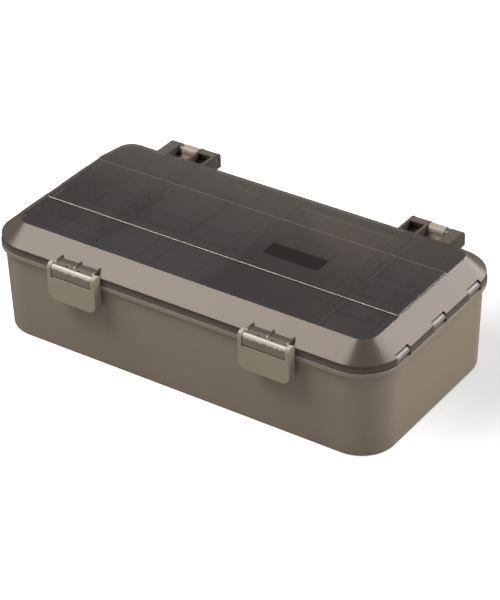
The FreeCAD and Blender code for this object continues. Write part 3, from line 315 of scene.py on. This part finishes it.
def scuff_group():
    """Faint handling marks: thin stretched streaks that come and go with a slow cloud."""
    tree, given, result = new_group("Handling scuffs", {"Vector": "Vector", "Amount": "Float"},
                                    {"Scuff": "Float"})
    turned = tree.node("ShaderNodeMapping")
    tree.feed(turned.inputs["Vector"], given["Vector"])
    turned.inputs["Rotation"].default_value = STREAK_TURN
    turned.inputs["Scale"].default_value = STREAK_SCALE
    streak = tree.node("ShaderNodeTexNoise")
    tree.feed(streak.inputs["Vector"], turned.outputs[0])
    streak.inputs["Scale"].default_value = 1.0
    cloud = tree.node("ShaderNodeTexNoise")
    tree.feed(cloud.inputs["Vector"], given["Vector"])
    cloud.inputs["Scale"].default_value = SCUFF_CLOUD
    thin = tree.ramp(streak.outputs["Fac"], *STREAK_LEVEL)
    patch = tree.ramp(cloud.outputs["Fac"], *SCUFF_LEVEL)
    tree.feed(result["Scuff"], tree.times(thin, patch, given["Amount"]))
    return tree.tree


GROUP_MAKERS = {"Mould grain": mould_grain_group, "Panel mask": panel_mask_group,
                "Handling scuffs": scuff_group}


def shared(name):
    """A shared node group, made on first use."""
    return bpy.data.node_groups.get(name) or GROUP_MAKERS[name]()


def panel(tree, vector, centre, half_size, radius, soft):
    """Mask of a rectangle with round corners, and the distance from its edge."""
    return tree.use(shared("Panel mask"), Vector=vector, Centre=(*centre, 0.0),
                    Half_size=(*half_size, 0.0), Radius=radius, Soft=soft)


def new_material(name, **constants):
    """A material with one Principled shader whose constants are set on its own sockets."""
    material = bpy.data.materials.new(name)
    material.use_nodes = True
    tree = Tree(material.node_tree)
    shader = tree.node("ShaderNodeBsdfPrincipled")
    output = tree.node("ShaderNodeOutputMaterial")
    tree.feed(output.inputs["Surface"], shader.outputs[0])
    for socket, item in constants.items():
        shader.inputs[socket.replace("_", " ")].default_value = item
    return material, tree, shader


def colour(rgb, share=1.0):
    """A colour with its brightness scaled, with full alpha."""
    return (*(part * share for part in rgb), 1.0)


def add_relief(tree, shader, height, depth):
    """Bump from a height between 0 and 1."""
    bump = tree.node("ShaderNodeBump")
    bump.inputs["Distance"].default_value = depth
    tree.feed(bump.inputs["Height"], height)
    tree.feed(shader.inputs["Normal"], bump.outputs[0])


def satin_plastic(name, rgb, finish, grain_depth):
    """Opaque moulded plastic: near-even colour, fine grain and soft sheen."""
    material, tree, shader = new_material(name, IOR=PLASTIC_IOR,
                                          Specular_IOR_Level=finish.opaque_shine)
    vector = tree.place()
    grain = tree.use(shared("Mould grain"), Vector=vector, Grain=finish.grain_scale,
                     Cloud=GRAIN_CLOUD)
    add_relief(tree, shader, grain["Height"], grain_depth)
    uneven = grain["Unevenness"]
    rough = [finish.opaque_roughness + change for change in ROUGH_SPREAD]
    tree.feed(shader.inputs["Roughness"], tree.ramp(uneven, *NOISE_SPREAD, *rough))
    scuff = tree.use(shared("Handling scuffs"), Vector=vector, Amount=SCUFF_AMOUNT)["Scuff"]
    base = tree.mix(uneven, *(colour(rgb, share) for share in MOTTLE))
    tree.feed(shader.inputs["Base Color"], tree.mix(scuff, base, colour(rgb, SCUFF_SHARE)))
    return material


def lid_masks(tree, vector):
    """Masks of the lid's areas: window, its ceiling, skirt, arms and lugs, and where painted
    highlight lines run along the lip and the band's steps.
    """
    x, y, z = tree.split(vector)
    top = panel(tree, vector, (0.0, 0.0), (RIM_X - TOP_INSET, RIM_Y - TOP_INSET),
                TOP_CORNER, WINDOW_SOFT)["Mask"]
    shell = panel(tree, vector, (0.0, 0.0), (RIM_X + SHELL_EDGE, RIM_Y + SHELL_EDGE),
                  0.0, SHELL_EDGE)["Mask"]
    outside = tree.rest(shell)
    rear = tree.ramp(y, *REAR_Y)
    upright = tree.times(tree.ramp(z, *SKIRT_FOOT_Z), tree.ramp(z, *SKIRT_TOP_Z))
    fainter = tree.ramp(tree.off(x), *SKIRT_END_X, 1.0, SKIRT_END_SHARE)
    steps = [tree.ramp(tree.off(y, edge), width, 0.5 * width) for edge, width in BAND_STEPS]
    return {"window": tree.times(top, tree.ramp(z, *WINDOW_Z)),
            "ceiling": tree.times(top, tree.ramp(tree.off(z, CEILING_Z), *CEILING_REACH)),
            "skirt": tree.times(upright, fainter, shell),
            "lip": tree.times(tree.ramp(z, *LIP_Z), shell),
            "band": tree.times(tree.most(*steps), tree.ramp(z, *BAND_Z)),
            "arms": tree.times(outside, rear),
            "lugs": tree.times(outside, tree.rest(rear))}


def printed_plate(tree, vector, plate):
    """Mask of the plate's outline and lower band."""
    outer = panel(tree, vector, plate.centre, [side / 2 for side in plate.size],
                  PLATE_CORNER, PLATE_SOFT)
    line = tree.times(outer["Mask"], tree.ramp(outer["Distance"], *PLATE_LINE))
    upper = plate.centre[1] + plate.size[1] * plate.share
    y = tree.split(vector)[1]
    lower = tree.times(outer["Mask"],
                       tree.ramp(y, upper + PLATE_BAND_SOFT, upper - PLATE_BAND_SOFT))
    return tree.most(tree.times(line, PLATE_LINE_INK), lower)


def lug_colour(tree, vector, finish):
    """Clear latch lugs: painted shade darkens faces that look up (the rims on top) and aside, grey
    pockets sit lower in the top, and a scalloped painted highlight runs along the front's crest.
    """
    x, _, z = tree.split(vector)
    facing = tree.split(tree.node("ShaderNodeTexCoord").outputs["Normal"])
    ripple = tree.node("ShaderNodeTexNoise", noise_dimensions="1D")
    tree.feed(ripple.inputs["W"], x)
    ripple.inputs["Scale"].default_value = CREST_WAVES
    height = tree.math("ADD", z, tree.ramp(ripple.outputs["Fac"], *NOISE_SPREAD, *CREST_WAVE))
    # Painted highlight along the scalloped crest of the lug's front.
    crest = tree.ramp(height, *CREST_Z)
    front = tree.mix(crest, colour(finish.lug_colour), colour(finish.crest_highlight_colour))
    pocket = tree.ramp(z, *POCKET_Z)
    # Faces that look up: painted shade on the rims, grey in the pockets.
    above = tree.mix(pocket, colour(finish.lug_colour, LUG_TOP_SHADE),
                     colour(finish.skirt_colour, POCKET_SHARE))
    lug = tree.mix(tree.ramp(facing[2], *FACING_UP), front, above)
    # Painted shade on faces that look aside.
    side = tree.ramp(tree.off(facing[0]), *FACING_ASIDE)
    return tree.mix(side, lug, colour(finish.skirt_colour, LUG_SIDE_SHADE))


def lid_colour(tree, vector, masks, finish):
    """Colour of the lid before the print: clear top with painted light towards the hinges, slopes,
    skirt, arms, lugs with painted highlight and shade, and painted highlight lines.
    """
    x, y, _ = tree.split(vector)
    # Painted light: the clear top lighter towards the hinges, less so on the right.
    rear_light = tree.times(tree.ramp(y, *REAR_LIGHT_Y), tree.ramp(x, *REAR_LIGHT_X, 1.0, REAR_LIGHT_RIGHT_SHARE))
    clear = tree.mix(rear_light, colour(finish.window_colour), colour(finish.rear_light_colour))
    body = tree.mix(masks["window"], colour(finish.lid_colour), clear)
    body = tree.mix(masks["skirt"], body, colour(finish.skirt_colour))
    body = tree.mix(masks["arms"], body, colour(finish.arm_colour))
    body = tree.mix(masks["lugs"], body, lug_colour(tree, vector, finish))
    # Painted highlight lines along the band's steps and the lower lip.
    return tree.mix(masks["lines"], body, colour(finish.line_highlight_colour))


def lid_plastic(finish, plate):
    """Smoke-clear lid: glossy see-through top, misty slopes, clear fittings and a plate, with
    painted highlights, painted light and painted shade.

    The top's outer face carries all its density and the ceiling under it is clear, so that
    light crosses one face only.
    """
    material, tree, shader = new_material("smoke_lid", IOR=PLASTIC_IOR,
                                          Specular_IOR_Level=finish.lid_shine,
                                          Specular_Tint=colour(finish.lid_tint))
    vector = tree.place()
    masks = lid_masks(tree, vector)
    # The painted highlight lines, which also hide what is behind them.
    masks["lines"] = tree.most(masks["band"], masks["lip"])
    window = masks["window"]
    printed = tree.times(printed_plate(tree, vector, plate), window)

    peel = tree.use(shared("Mould grain"), Vector=vector, Grain=finish.peel_scale,
                    Cloud=PEEL_CLOUD)
    add_relief(tree, shader, tree.times(peel["Height"], tree.rest(window)), PEEL_DEPTH)
    rough = tree.blend(window, finish.lid_roughness, finish.window_roughness)
    tree.feed(shader.inputs["Roughness"], rough)
    body = lid_colour(tree, vector, masks, finish)
    tree.feed(shader.inputs["Base Color"], tree.mix(printed, body, colour(plate.ink)))

    alpha = tree.blend(window, finish.lid_density, finish.window_density)
    alpha = tree.most(alpha, printed, masks["lines"], masks["arms"])
    tree.feed(shader.inputs["Alpha"], tree.blend(masks["ceiling"], alpha, 0.0))
    return material


def clear_moulding(name, rgb, finish):
    """A smooth moulding inside the lid, paler at its ends, with its coordinates and end mask."""
    material, tree, shader = new_material(name, IOR=PLASTIC_IOR, Roughness=CLEAR_ROUGHNESS,
                                          Specular_IOR_Level=finish.clear_shine)
    place = tree.split(tree.place())
    knob = tree.ramp(tree.off(place[0]), *KNOB_X)
    tree.feed(shader.inputs["Base Color"],
              tree.mix(knob, colour(rgb), colour(finish.knob_colour)))
    return material, tree, shader, place, knob


def divider_plastic(finish):
    """Smoke-clear dividers: thin on their faces, dense along their level edges and their ends."""
    material, tree, shader, place, knob = clear_moulding("smoke_dividers", finish.wall_colour,
                                                         finish)
    low, high = (corner.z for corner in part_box("middle_organiser"))
    upper = tree.ramp(place[2], *(high - reach for reach in DENSE_EDGE))
    lower = tree.ramp(place[2], *(low + reach for reach in DENSE_EDGE))
    alpha = tree.blend(tree.most(upper, lower), finish.wall_density, finish.wall_edge_density)
    tree.feed(shader.inputs["Alpha"], tree.most(alpha, knob))
    return material


def cover_plastic(finish):
    """Dark covers that hide what is under them, with paler knobs at the box's ends."""
    return clear_moulding("smoke_covers", finish.cover_colour, finish)[0]


# What a user would change

class BoxFinish(bpy.types.PropertyGroup):
    """Colours and finishes of the moulded pieces."""

    tray_colour: bpy.props.FloatVectorProperty(
        name="Tray", description="Colour of the tray",
        subtype="COLOR", size=3, default=(0.260, 0.206, 0.156), min=0.0, max=1.0)
    latch_colour: bpy.props.FloatVectorProperty(
        name="Latches", description="Colour of the latches",
        subtype="COLOR", size=3, default=(0.310, 0.256, 0.192), min=0.0, max=1.0)
    lid_colour: bpy.props.FloatVectorProperty(
        name="Lid", description="Colour of the lid's misty slopes",
        subtype="COLOR", size=3, default=(0.072, 0.057, 0.046), min=0.0, max=1.0)
    lid_tint: bpy.props.FloatVectorProperty(
        name="Lid gloss tint", description="Tint of the lid's gloss",
        subtype="COLOR", size=3, default=(1.0, 0.86, 0.74), min=0.0, max=1.0)
    # Painted light on the clear top towards the hinges.
    rear_light_colour: bpy.props.FloatVectorProperty(
        name="Haze", description="Colour of the clear top towards the hinges",
        subtype="COLOR", size=3, default=(0.092, 0.080, 0.068), min=0.0, max=1.0)
    # Painted highlight of the thin lines along the band's steps and the lid's lower lip.
    line_highlight_colour: bpy.props.FloatVectorProperty(
        name="Edges", description="Colour of the lid's polished edges",
        subtype="COLOR", size=3, default=(0.540, 0.490, 0.430), min=0.0, max=1.0)
    lug_colour: bpy.props.FloatVectorProperty(
        name="Lugs", description="Colour of the latch lugs",
        subtype="COLOR", size=3, default=(0.210, 0.175, 0.145), min=0.0, max=1.0)
    # Painted highlight along the lugs' front crests.
    crest_highlight_colour: bpy.props.FloatVectorProperty(
        name="Lug crests", description="Colour of the bright crests of the latch lugs",
        subtype="COLOR", size=3, default=(0.520, 0.460, 0.390), min=0.0, max=1.0)
    knob_colour: bpy.props.FloatVectorProperty(
        name="Cover knobs", description="Colour of the knobs of the end covers",
        subtype="COLOR", size=3, default=(0.200, 0.175, 0.160), min=0.0, max=1.0)
    window_colour: bpy.props.FloatVectorProperty(
        name="Window", description="Colour of the lid's clear top",
        subtype="COLOR", size=3, default=(0.043, 0.038, 0.038), min=0.0, max=1.0)
    skirt_colour: bpy.props.FloatVectorProperty(
        name="Skirt", description="Colour of the lid's upright side",
        subtype="COLOR", size=3, default=(0.125, 0.102, 0.086), min=0.0, max=1.0)
    arm_colour: bpy.props.FloatVectorProperty(
        name="Hinge arms", description="Colour of the lid's hinge arms",
        subtype="COLOR", size=3, default=(0.070, 0.058, 0.048), min=0.0, max=1.0)
    wall_colour: bpy.props.FloatVectorProperty(
        name="Dividers", description="Colour of the dividers",
        subtype="COLOR", size=3, default=(0.010, 0.008, 0.008), min=0.0, max=1.0)
    cover_colour: bpy.props.FloatVectorProperty(
        name="Covers", description="Colour of the covers under the compartments",
        subtype="COLOR", size=3, default=(0.036, 0.031, 0.030), min=0.0, max=1.0)
    sleeve_colour: bpy.props.FloatVectorProperty(
        name="Hinge sleeves", description="Colour of the hinge sleeves",
        subtype="COLOR", size=3, default=(0.070, 0.058, 0.048), min=0.0, max=1.0)
    pin_colour: bpy.props.FloatVectorProperty(
        name="Pins", description="Colour of the pins",
        subtype="COLOR", size=3, default=(0.130, 0.095, 0.065), min=0.0, max=1.0)
    wall_density: bpy.props.FloatProperty(
        name="Divider density", description="How much the dividers' faces hide",
        subtype="FACTOR", default=0.05, min=0.0, max=1.0)
    wall_edge_density: bpy.props.FloatProperty(
        name="Divider edge density", description="How much the dividers' level edges hide",
        subtype="FACTOR", default=0.9, min=0.0, max=1.0)
    lid_density: bpy.props.FloatProperty(
        name="Slope density", description="How much the lid's slopes hide",
        subtype="FACTOR", default=0.92, min=0.0, max=1.0)
    window_density: bpy.props.FloatProperty(
        name="Top density", description="How much the lid's top hides",
        subtype="FACTOR", default=0.56, min=0.0, max=1.0)
    lid_roughness: bpy.props.FloatProperty(
        name="Lid roughness", description="Roughness of the lid's slopes",
        subtype="FACTOR", default=0.26, min=0.0, max=1.0)
    opaque_roughness: bpy.props.FloatProperty(
        name="Tray roughness", description="Roughness of the opaque pieces",
        subtype="FACTOR", default=0.4, min=0.0, max=1.0)
    opaque_shine: bpy.props.FloatProperty(
        name="Tray shine", description="Specular level of the opaque pieces",
        subtype="FACTOR", default=0.5, min=0.0, max=1.0)
    window_roughness: bpy.props.FloatProperty(
        name="Top roughness", description="Roughness of the lid's clear top",
        subtype="FACTOR", default=0.08, min=0.0, max=1.0)
    lid_shine: bpy.props.FloatProperty(
        name="Lid shine", description="Specular level of the lid",
        subtype="FACTOR", default=0.5, min=0.0, max=1.0)
    clear_shine: bpy.props.FloatProperty(
        name="Clear shine", description="Specular level of the clear pieces",
        subtype="FACTOR", default=0.5, min=0.0, max=1.0)
    grain_scale: bpy.props.FloatProperty(
        name="Grain", description="Grains of the moulded texture per metre",
        default=1800.0, min=100.0, max=9000.0)
    peel_scale: bpy.props.FloatProperty(
        name="Peel", description="Waves of the lid's moulded surface per metre",
        default=260.0, min=20.0, max=900.0)


class PrintedPlate(bpy.types.PropertyGroup):
    """The blank printed plate on the lid."""

    centre: bpy.props.FloatVectorProperty(
        name="Centre", description="Middle of the plate on the lid",
        unit="LENGTH", size=2, default=(0.0525, 0.0025))
    size: bpy.props.FloatVectorProperty(
        name="Size", description="Length and width of the plate",
        unit="LENGTH", size=2, default=(0.0485, 0.031))
    share: bpy.props.FloatProperty(
        name="Band edge",
        description="Upper edge of the dark band, as a share of the plate's width",
        default=0.03, min=-0.5, max=0.5)
    ink: bpy.props.FloatVectorProperty(
        name="Ink", description="Colour of the print",
        subtype="COLOR", size=3, default=(0.004, 0.003, 0.003), min=0.0, max=1.0)


class Studio(bpy.types.PropertyGroup):
    """Camera, lamps and floor."""

    azimuth: bpy.props.FloatProperty(
        name="Azimuth", description="Camera's turn from the front towards the right",
        unit="ROTATION", default=math.radians(34.63))
    elevation: bpy.props.FloatProperty(
        name="Elevation", description="Camera's height angle",
        unit="ROTATION", default=math.radians(32.793))
    roll: bpy.props.FloatProperty(
        name="Roll", description="Camera's roll",
        unit="ROTATION", default=math.radians(-1.222))
    distance: bpy.props.FloatProperty(
        name="Distance", description="Camera's distance from its target",
        unit="LENGTH", default=1.8247)
    lens: bpy.props.FloatProperty(
        name="Lens", description="Focal length in millimetres on a 36 mm sensor",
        unit="CAMERA", default=144.665)
    key_power: bpy.props.FloatProperty(
        name="Front lamp", description="Power of the front lamp",
        unit="POWER", default=31.0)
    rear_power: bpy.props.FloatProperty(
        name="Rear lamp", description="Power of the rear lamp",
        unit="POWER", default=46.0)
    air: bpy.props.FloatProperty(
        name="Air", description="Strength of the even light from all round",
        default=0.35, min=0.0)
    floor: bpy.props.FloatProperty(
        name="Floor", description="Brightness of the floor's own colour",
        subtype="FACTOR", default=0.42, min=0.0, max=1.0)
    # Glow left in the floor's painted shadow beside the box.
    lift: bpy.props.FloatProperty(
        name="Floor lift",
        description="Brightness that the camera adds to the floor beside the box",
        default=0.22, min=0.0)
    behind: bpy.props.FloatProperty(
        name="Floor behind",
        description="Share of the floor's brightness that shows through clear plastic",
        default=0.3, min=0.0, max=1.0)
    mirrored_air: bpy.props.FloatProperty(
        name="Mirrored air", description="Brightness of the even light in gloss and glass",
        default=0.27, min=0.0)
    mirrored: bpy.props.FloatProperty(
        name="Mirrored floor", description="Brightness of the floor in gloss and glass",
        default=0.1, min=0.0)
    mirrored_right: bpy.props.FloatProperty(
        name="Mirrored floor, right", description="The same, on the box's right",
        default=0.7, min=0.0)


# Operators

def dress(material, *nodes):
    """Put a material on every slot of the named solids."""
    for name in nodes:
        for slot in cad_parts[name].material_slots:
            slot.material = material


class BOX_OT_tray(bpy.types.Operator):
    """Give the tray its satin taupe plastic."""

    bl_idname = "tackle_box.tray"
    bl_label = "Finish the tray"

    def execute(self, context):
        finish = context.scene.box_finish
        dress(satin_plastic("taupe_tray", finish.tray_colour, finish, TRAY_GRAIN), "base_shell")
        return {"FINISHED"}


class BOX_OT_lid(bpy.types.Operator):
    """Give the lid its smoke-clear plastic and the blank printed plate."""

    bl_idname = "tackle_box.lid"
    bl_label = "Finish the lid"

    def execute(self, context):
        scene = context.scene
        dress(lid_plastic(scene.box_finish, scene.printed_plate), "lid_shell")
        return {"FINISHED"}


class BOX_OT_compartments(bpy.types.Operator):
    """Give the dividers their smoke-clear plastic and the covers their dark one."""

    bl_idname = "tackle_box.compartments"
    bl_label = "Finish the compartments"

    def execute(self, context):
        finish = context.scene.box_finish
        dress(divider_plastic(finish),
              "middle_organiser", "end_organiser_left", "end_organiser_right")
        dress(cover_plastic(finish), "middle_cover", "end_cover_left", "end_cover_right")
        return {"FINISHED"}


class BOX_OT_latches(bpy.types.Operator):
    """Give the latches their satin plastic."""

    bl_idname = "tackle_box.latches"
    bl_label = "Finish the latches"

    def execute(self, context):
        finish = context.scene.box_finish
        dress(satin_plastic("taupe_latch", finish.latch_colour, finish, LATCH_GRAIN),
              "latch_left", "latch_right")
        return {"FINISHED"}


def sleeve_outline():
    """Outline of a hinge sleeve, in Y and Z from the hinge's axis.

    The outer line runs level over the pin, round a quarter circle whose points are
    (middle + corner cos t, middle + corner sin t) with t from 90 degrees to 0, down behind
    the pin and forward to the tray's wall.  The inner line is the same, one wall inside it,
    and runs back.
    """
    outer, corner, wall, front, foot = 4.85 * MM, 3.7 * MM, 1.3 * MM, -4.6 * MM, -3.9 * MM
    turn = np.linspace(np.pi / 2, 0.0, SLEEVE_ARC_STEPS)
    arc = np.stack([np.cos(turn), np.sin(turn)], axis=-1)
    middle = outer - corner
    over = np.vstack([[[front, outer]], middle + corner * arc,
                      [[outer, foot], [HINGE_WALL, foot]]])
    under = np.vstack([[[front, outer - wall]], middle + (corner - wall) * arc,
                       [[outer - wall, foot + wall], [HINGE_WALL, foot + wall]]])
    return np.vstack([over, under[::-1]])


def web_outline():
    """Outline of the web under the outer arm, in Y and Z from the hinge's axis: a thin box."""
    back, low, high = 3.4 * MM, -3.9 * MM, -2.6 * MM
    return np.array([[HINGE_WALL, high], [back, high], [back, low], [HINGE_WALL, low]])


def extruded(name, hand, span, outline):
    """A closed piece with one outline from one X to another, mirrored by hand.

    The point at t round the outline and u along the span is (hand x(u), y(t), z(t)) from
    the hinge's axis, and one flat face closes each end.
    """
    count = len(outline)
    along = np.repeat(hand * np.array(span), count)[:, None]
    around = np.tile(outline + HINGE_PIN[1:], (len(span), 1))
    points = np.hstack([along, around]).tolist()
    ring = np.arange(count)
    after = (ring + 1) % count
    quads = np.stack([ring, after, after + count, ring + count], axis=-1)[:, ::hand].tolist()
    caps = [ring[::-hand].tolist(), (ring + count)[::hand].tolist()]
    mesh = bpy.data.meshes.new(name)
    mesh.from_pydata(points, [], quads + caps)
    mesh.update()
    piece = bpy.data.objects.new(f"{name}_{'left' if hand < 0 else 'right'}", mesh)
    bpy.context.scene.collection.objects.link(piece)
    return piece


class BOX_OT_sleeves(bpy.types.Operator):
    """Add the smoke-brown sleeves and webs of the two hinges."""

    bl_idname = "tackle_box.sleeves"
    bl_label = "Add the hinge sleeves"

    def execute(self, context):
        finish = context.scene.box_finish
        material = satin_plastic("smoke_sleeve", finish.sleeve_colour, finish, SLEEVE_GRAIN)
        for hand in (-1, 1):
            for name, span, outline in (("hinge_sleeve", SLEEVE_SPAN, sleeve_outline()),
                                        ("hinge_web", WEB_SPAN, web_outline())):
                piece = extruded(name, hand, span, outline)
                piece.data.materials.append(material)
                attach(piece, "lid")
        return {"FINISHED"}


class BOX_OT_pins(bpy.types.Operator):
    """Give the pins their plain brown plastic."""

    bl_idname = "tackle_box.pins"
    bl_label = "Finish the pins"

    def execute(self, context):
        finish = context.scene.box_finish
        names = [f"{kind}_pin_{side}" for kind in ("hinge", "latch", "cover")
                 for side in ("left", "right")]
        dress(satin_plastic("brown_pin", finish.pin_colour, finish, PIN_GRAIN), *names)
        return {"FINISHED"}


def disc(radius, rings, spokes):
    """Points and faces of a flat disc.

    The point at t along a spoke and at a turn round the middle is
    (radius t squared cos turn, radius t squared sin turn, 0), for t from 0 to 1.
    """
    t = np.linspace(0.0, 1.0, rings + 1)[1:, None] ** 2 * radius
    turn = np.linspace(0.0, 2 * np.pi, spokes, endpoint=False)[None, :]
    level = np.zeros((rings, spokes))
    grid = np.stack([t * np.cos(turn), t * np.sin(turn), level], axis=-1).reshape(-1, 3)
    points = np.vstack([[[0.0, 0.0, 0.0]], grid])
    spoke = np.arange(spokes)
    after = (spoke + 1) % spokes
    ring = 1 + np.arange(rings - 1)[:, None] * spokes
    quads = np.stack([ring + spoke, ring + spokes + spoke, ring + spokes + after, ring + after],
                     axis=-1).reshape(-1, 4)
    hub = np.stack([np.zeros(spokes, int), 1 + spoke, 1 + after], axis=-1)
    return points, hub.tolist() + quads.tolist()


def floor_material(studio):
    """Pale floor with a soft shadow on the box's right, partly the lamps' own and partly painted,
    where the camera's glow on it drops.

    The camera sees it as white, and dimmer through clear plastic, gloss and glass.
    """
    material, tree, shader = new_material("pale_floor", Roughness=FLOOR_ROUGHNESS,
                                          Specular_IOR_Level=FLOOR_SHINE, Emission_Color=WHITE)
    rays = tree.node("ShaderNodeLightPath").outputs
    mirrored = tree.most(rays["Is Glossy Ray"], rays["Is Transmission Ray"])
    tone = tree.mix(mirrored, colour((studio.floor,) * 3), colour((0.0,) * 3))
    tree.feed(shader.inputs["Base Color"], tone)
    place = tree.place()
    glow = tree.ramp(tree.split(place)[0], *MIRROR_X, studio.mirrored, studio.mirrored_right)
    away = tree.node("ShaderNodeVectorMath", operation="DISTANCE")
    tree.feed(away.inputs[0], place)
    away.inputs[1].default_value = SHADOW_MIDDLE
    # Painted shadow: less glow near the shadow's middle.
    lift = tree.ramp(away.outputs["Value"], *SHADOW_REACH, studio.lift, 1.0)
    behind = tree.ramp(rays["Transparent Depth"], 0.0, 1.0, 1.0, studio.behind)
    seen = tree.times(rays["Is Camera Ray"], lift, behind)
    tree.feed(shader.inputs["Emission Strength"],
              tree.math("ADD", seen, tree.times(mirrored, glow)))
    return material


def add_floor(studio):
    """A wide floor disc that belongs to the stage."""
    points, faces = disc(FLOOR_RADIUS, FLOOR_RINGS, FLOOR_SPOKES)
    mesh = bpy.data.meshes.new("studio_floor")
    mesh.from_pydata(points.tolist(), [], faces)
    mesh.materials.append(floor_material(studio))
    floor = bpy.data.objects.new("studio_floor", mesh)
    bpy.context.scene.collection.objects.link(floor)


def add_lamp(name, lamp_place, power):
    """A rectangular lamp that looks at the box from a direction."""
    direction, size = lamp_place
    data = bpy.data.lights.new(name, "AREA")
    data.shape = "RECTANGLE"
    data.size, data.size_y = size
    data.energy = power
    lamp = bpy.data.objects.new(name, data)
    aim = Vector(direction).normalized()
    lamp.location = LAMP_TARGET + aim * LAMP_DISTANCE
    lamp.rotation_euler = aim.to_track_quat("Z", "Y").to_euler()
    bpy.context.scene.collection.objects.link(lamp)


def add_air(studio):
    """Even light from all round, white to the camera and dimmer in gloss and glass."""
    world = bpy.data.worlds.new("studio_air")
    bpy.context.scene.world = world
    world.use_nodes = True
    tree = Tree(world.node_tree)
    back = tree.node("ShaderNodeBackground")
    back.inputs["Color"].default_value = WHITE
    rays = tree.node("ShaderNodeLightPath").outputs
    mirrored = tree.most(rays["Is Glossy Ray"], rays["Is Transmission Ray"])
    strength = tree.blend(mirrored, studio.air, studio.mirrored_air)
    tree.feed(back.inputs["Strength"], tree.blend(rays["Is Camera Ray"], strength, 1.0))
    tree.feed(tree.node("ShaderNodeOutputWorld").inputs["Surface"], back.outputs[0])


def add_camera(studio):
    """Camera on a sphere round its target, turned by its roll."""
    turn, lift = studio.azimuth, studio.elevation
    back_way = Vector((math.sin(turn) * math.cos(lift), -math.cos(turn) * math.cos(lift),
                       math.sin(lift)))
    right = Vector((0.0, 0.0, 1.0)).cross(back_way).normalized()
    up = back_way.cross(right)
    cos, sin = math.cos(studio.roll), math.sin(studio.roll)
    right, up = cos * right + sin * up, cos * up - sin * right
    target = CAMERA_TARGET + CAMERA_SHIFT[0] * right + CAMERA_SHIFT[1] * up
    camera = bpy.data.objects.new("studio_camera", bpy.data.cameras.new("studio_camera"))
    camera.data.lens = studio.lens
    camera.data.sensor_width = SENSOR_WIDTH
    camera.data.clip_end = CLIP_END
    turned = Matrix((right, up, back_way)).transposed().to_4x4()
    camera.matrix_world = Matrix.Translation(target + back_way * studio.distance) @ turned
    bpy.context.scene.collection.objects.link(camera)
    bpy.context.scene.camera = camera


class BOX_OT_studio(bpy.types.Operator):
    """Set up the floor, the lamps, the even light and the camera."""

    bl_idname = "tackle_box.studio"
    bl_label = "Set up the studio"

    def execute(self, context):
        studio = context.scene.tackle_studio
        add_floor(studio)
        add_lamp("front_softbox", FRONT_LAMP, studio.key_power)
        add_lamp("rear_softbox", REAR_LAMP, studio.rear_power)
        add_air(studio)
        add_camera(studio)
        context.scene.view_settings.view_transform = "Standard"
        return {"FINISHED"}


class BOX_PT_panel(bpy.types.Panel):
    """Buttons and values of the tackle box."""

    bl_idname = "BOX_PT_panel"
    bl_label = "Tackle Box"
    bl_space_type = "VIEW_3D"
    bl_region_type = "UI"
    bl_category = "Tackle Box"

    def draw(self, context):
        scene = context.scene
        for settings in (scene.box_finish, scene.printed_plate, scene.tackle_studio):
            column = self.layout.column(align=True)
            for name in settings.__annotations__:
                column.prop(settings, name)
        for operator in OPERATORS:
            self.layout.operator(operator.bl_idname)


SETTINGS = {"box_finish": BoxFinish, "printed_plate": PrintedPlate, "tackle_studio": Studio}
OPERATORS = (BOX_OT_tray, BOX_OT_lid, BOX_OT_compartments, BOX_OT_latches, BOX_OT_pins,
             BOX_OT_sleeves, BOX_OT_studio)


def register():
    """Add the classes and the scene's settings."""
    for item in (*SETTINGS.values(), *OPERATORS, BOX_PT_panel):
        bpy.utils.register_class(item)
    for name, item in SETTINGS.items():
        setattr(bpy.types.Scene, name, bpy.props.PointerProperty(type=item))


def unregister():
    """Take the classes and the scene's settings away."""
    for name in SETTINGS:
        delattr(bpy.types.Scene, name)
    for item in (BOX_PT_panel, *reversed(OPERATORS), *reversed(SETTINGS.values())):
        bpy.utils.unregister_class(item)


def main():
    """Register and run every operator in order."""
    register()
    for name in ("tray", "lid", "compartments", "latches", "pins", "sleeves", "studio"):
        getattr(bpy.ops.tackle_box, name)()


if __name__ == "__main__":
    main()
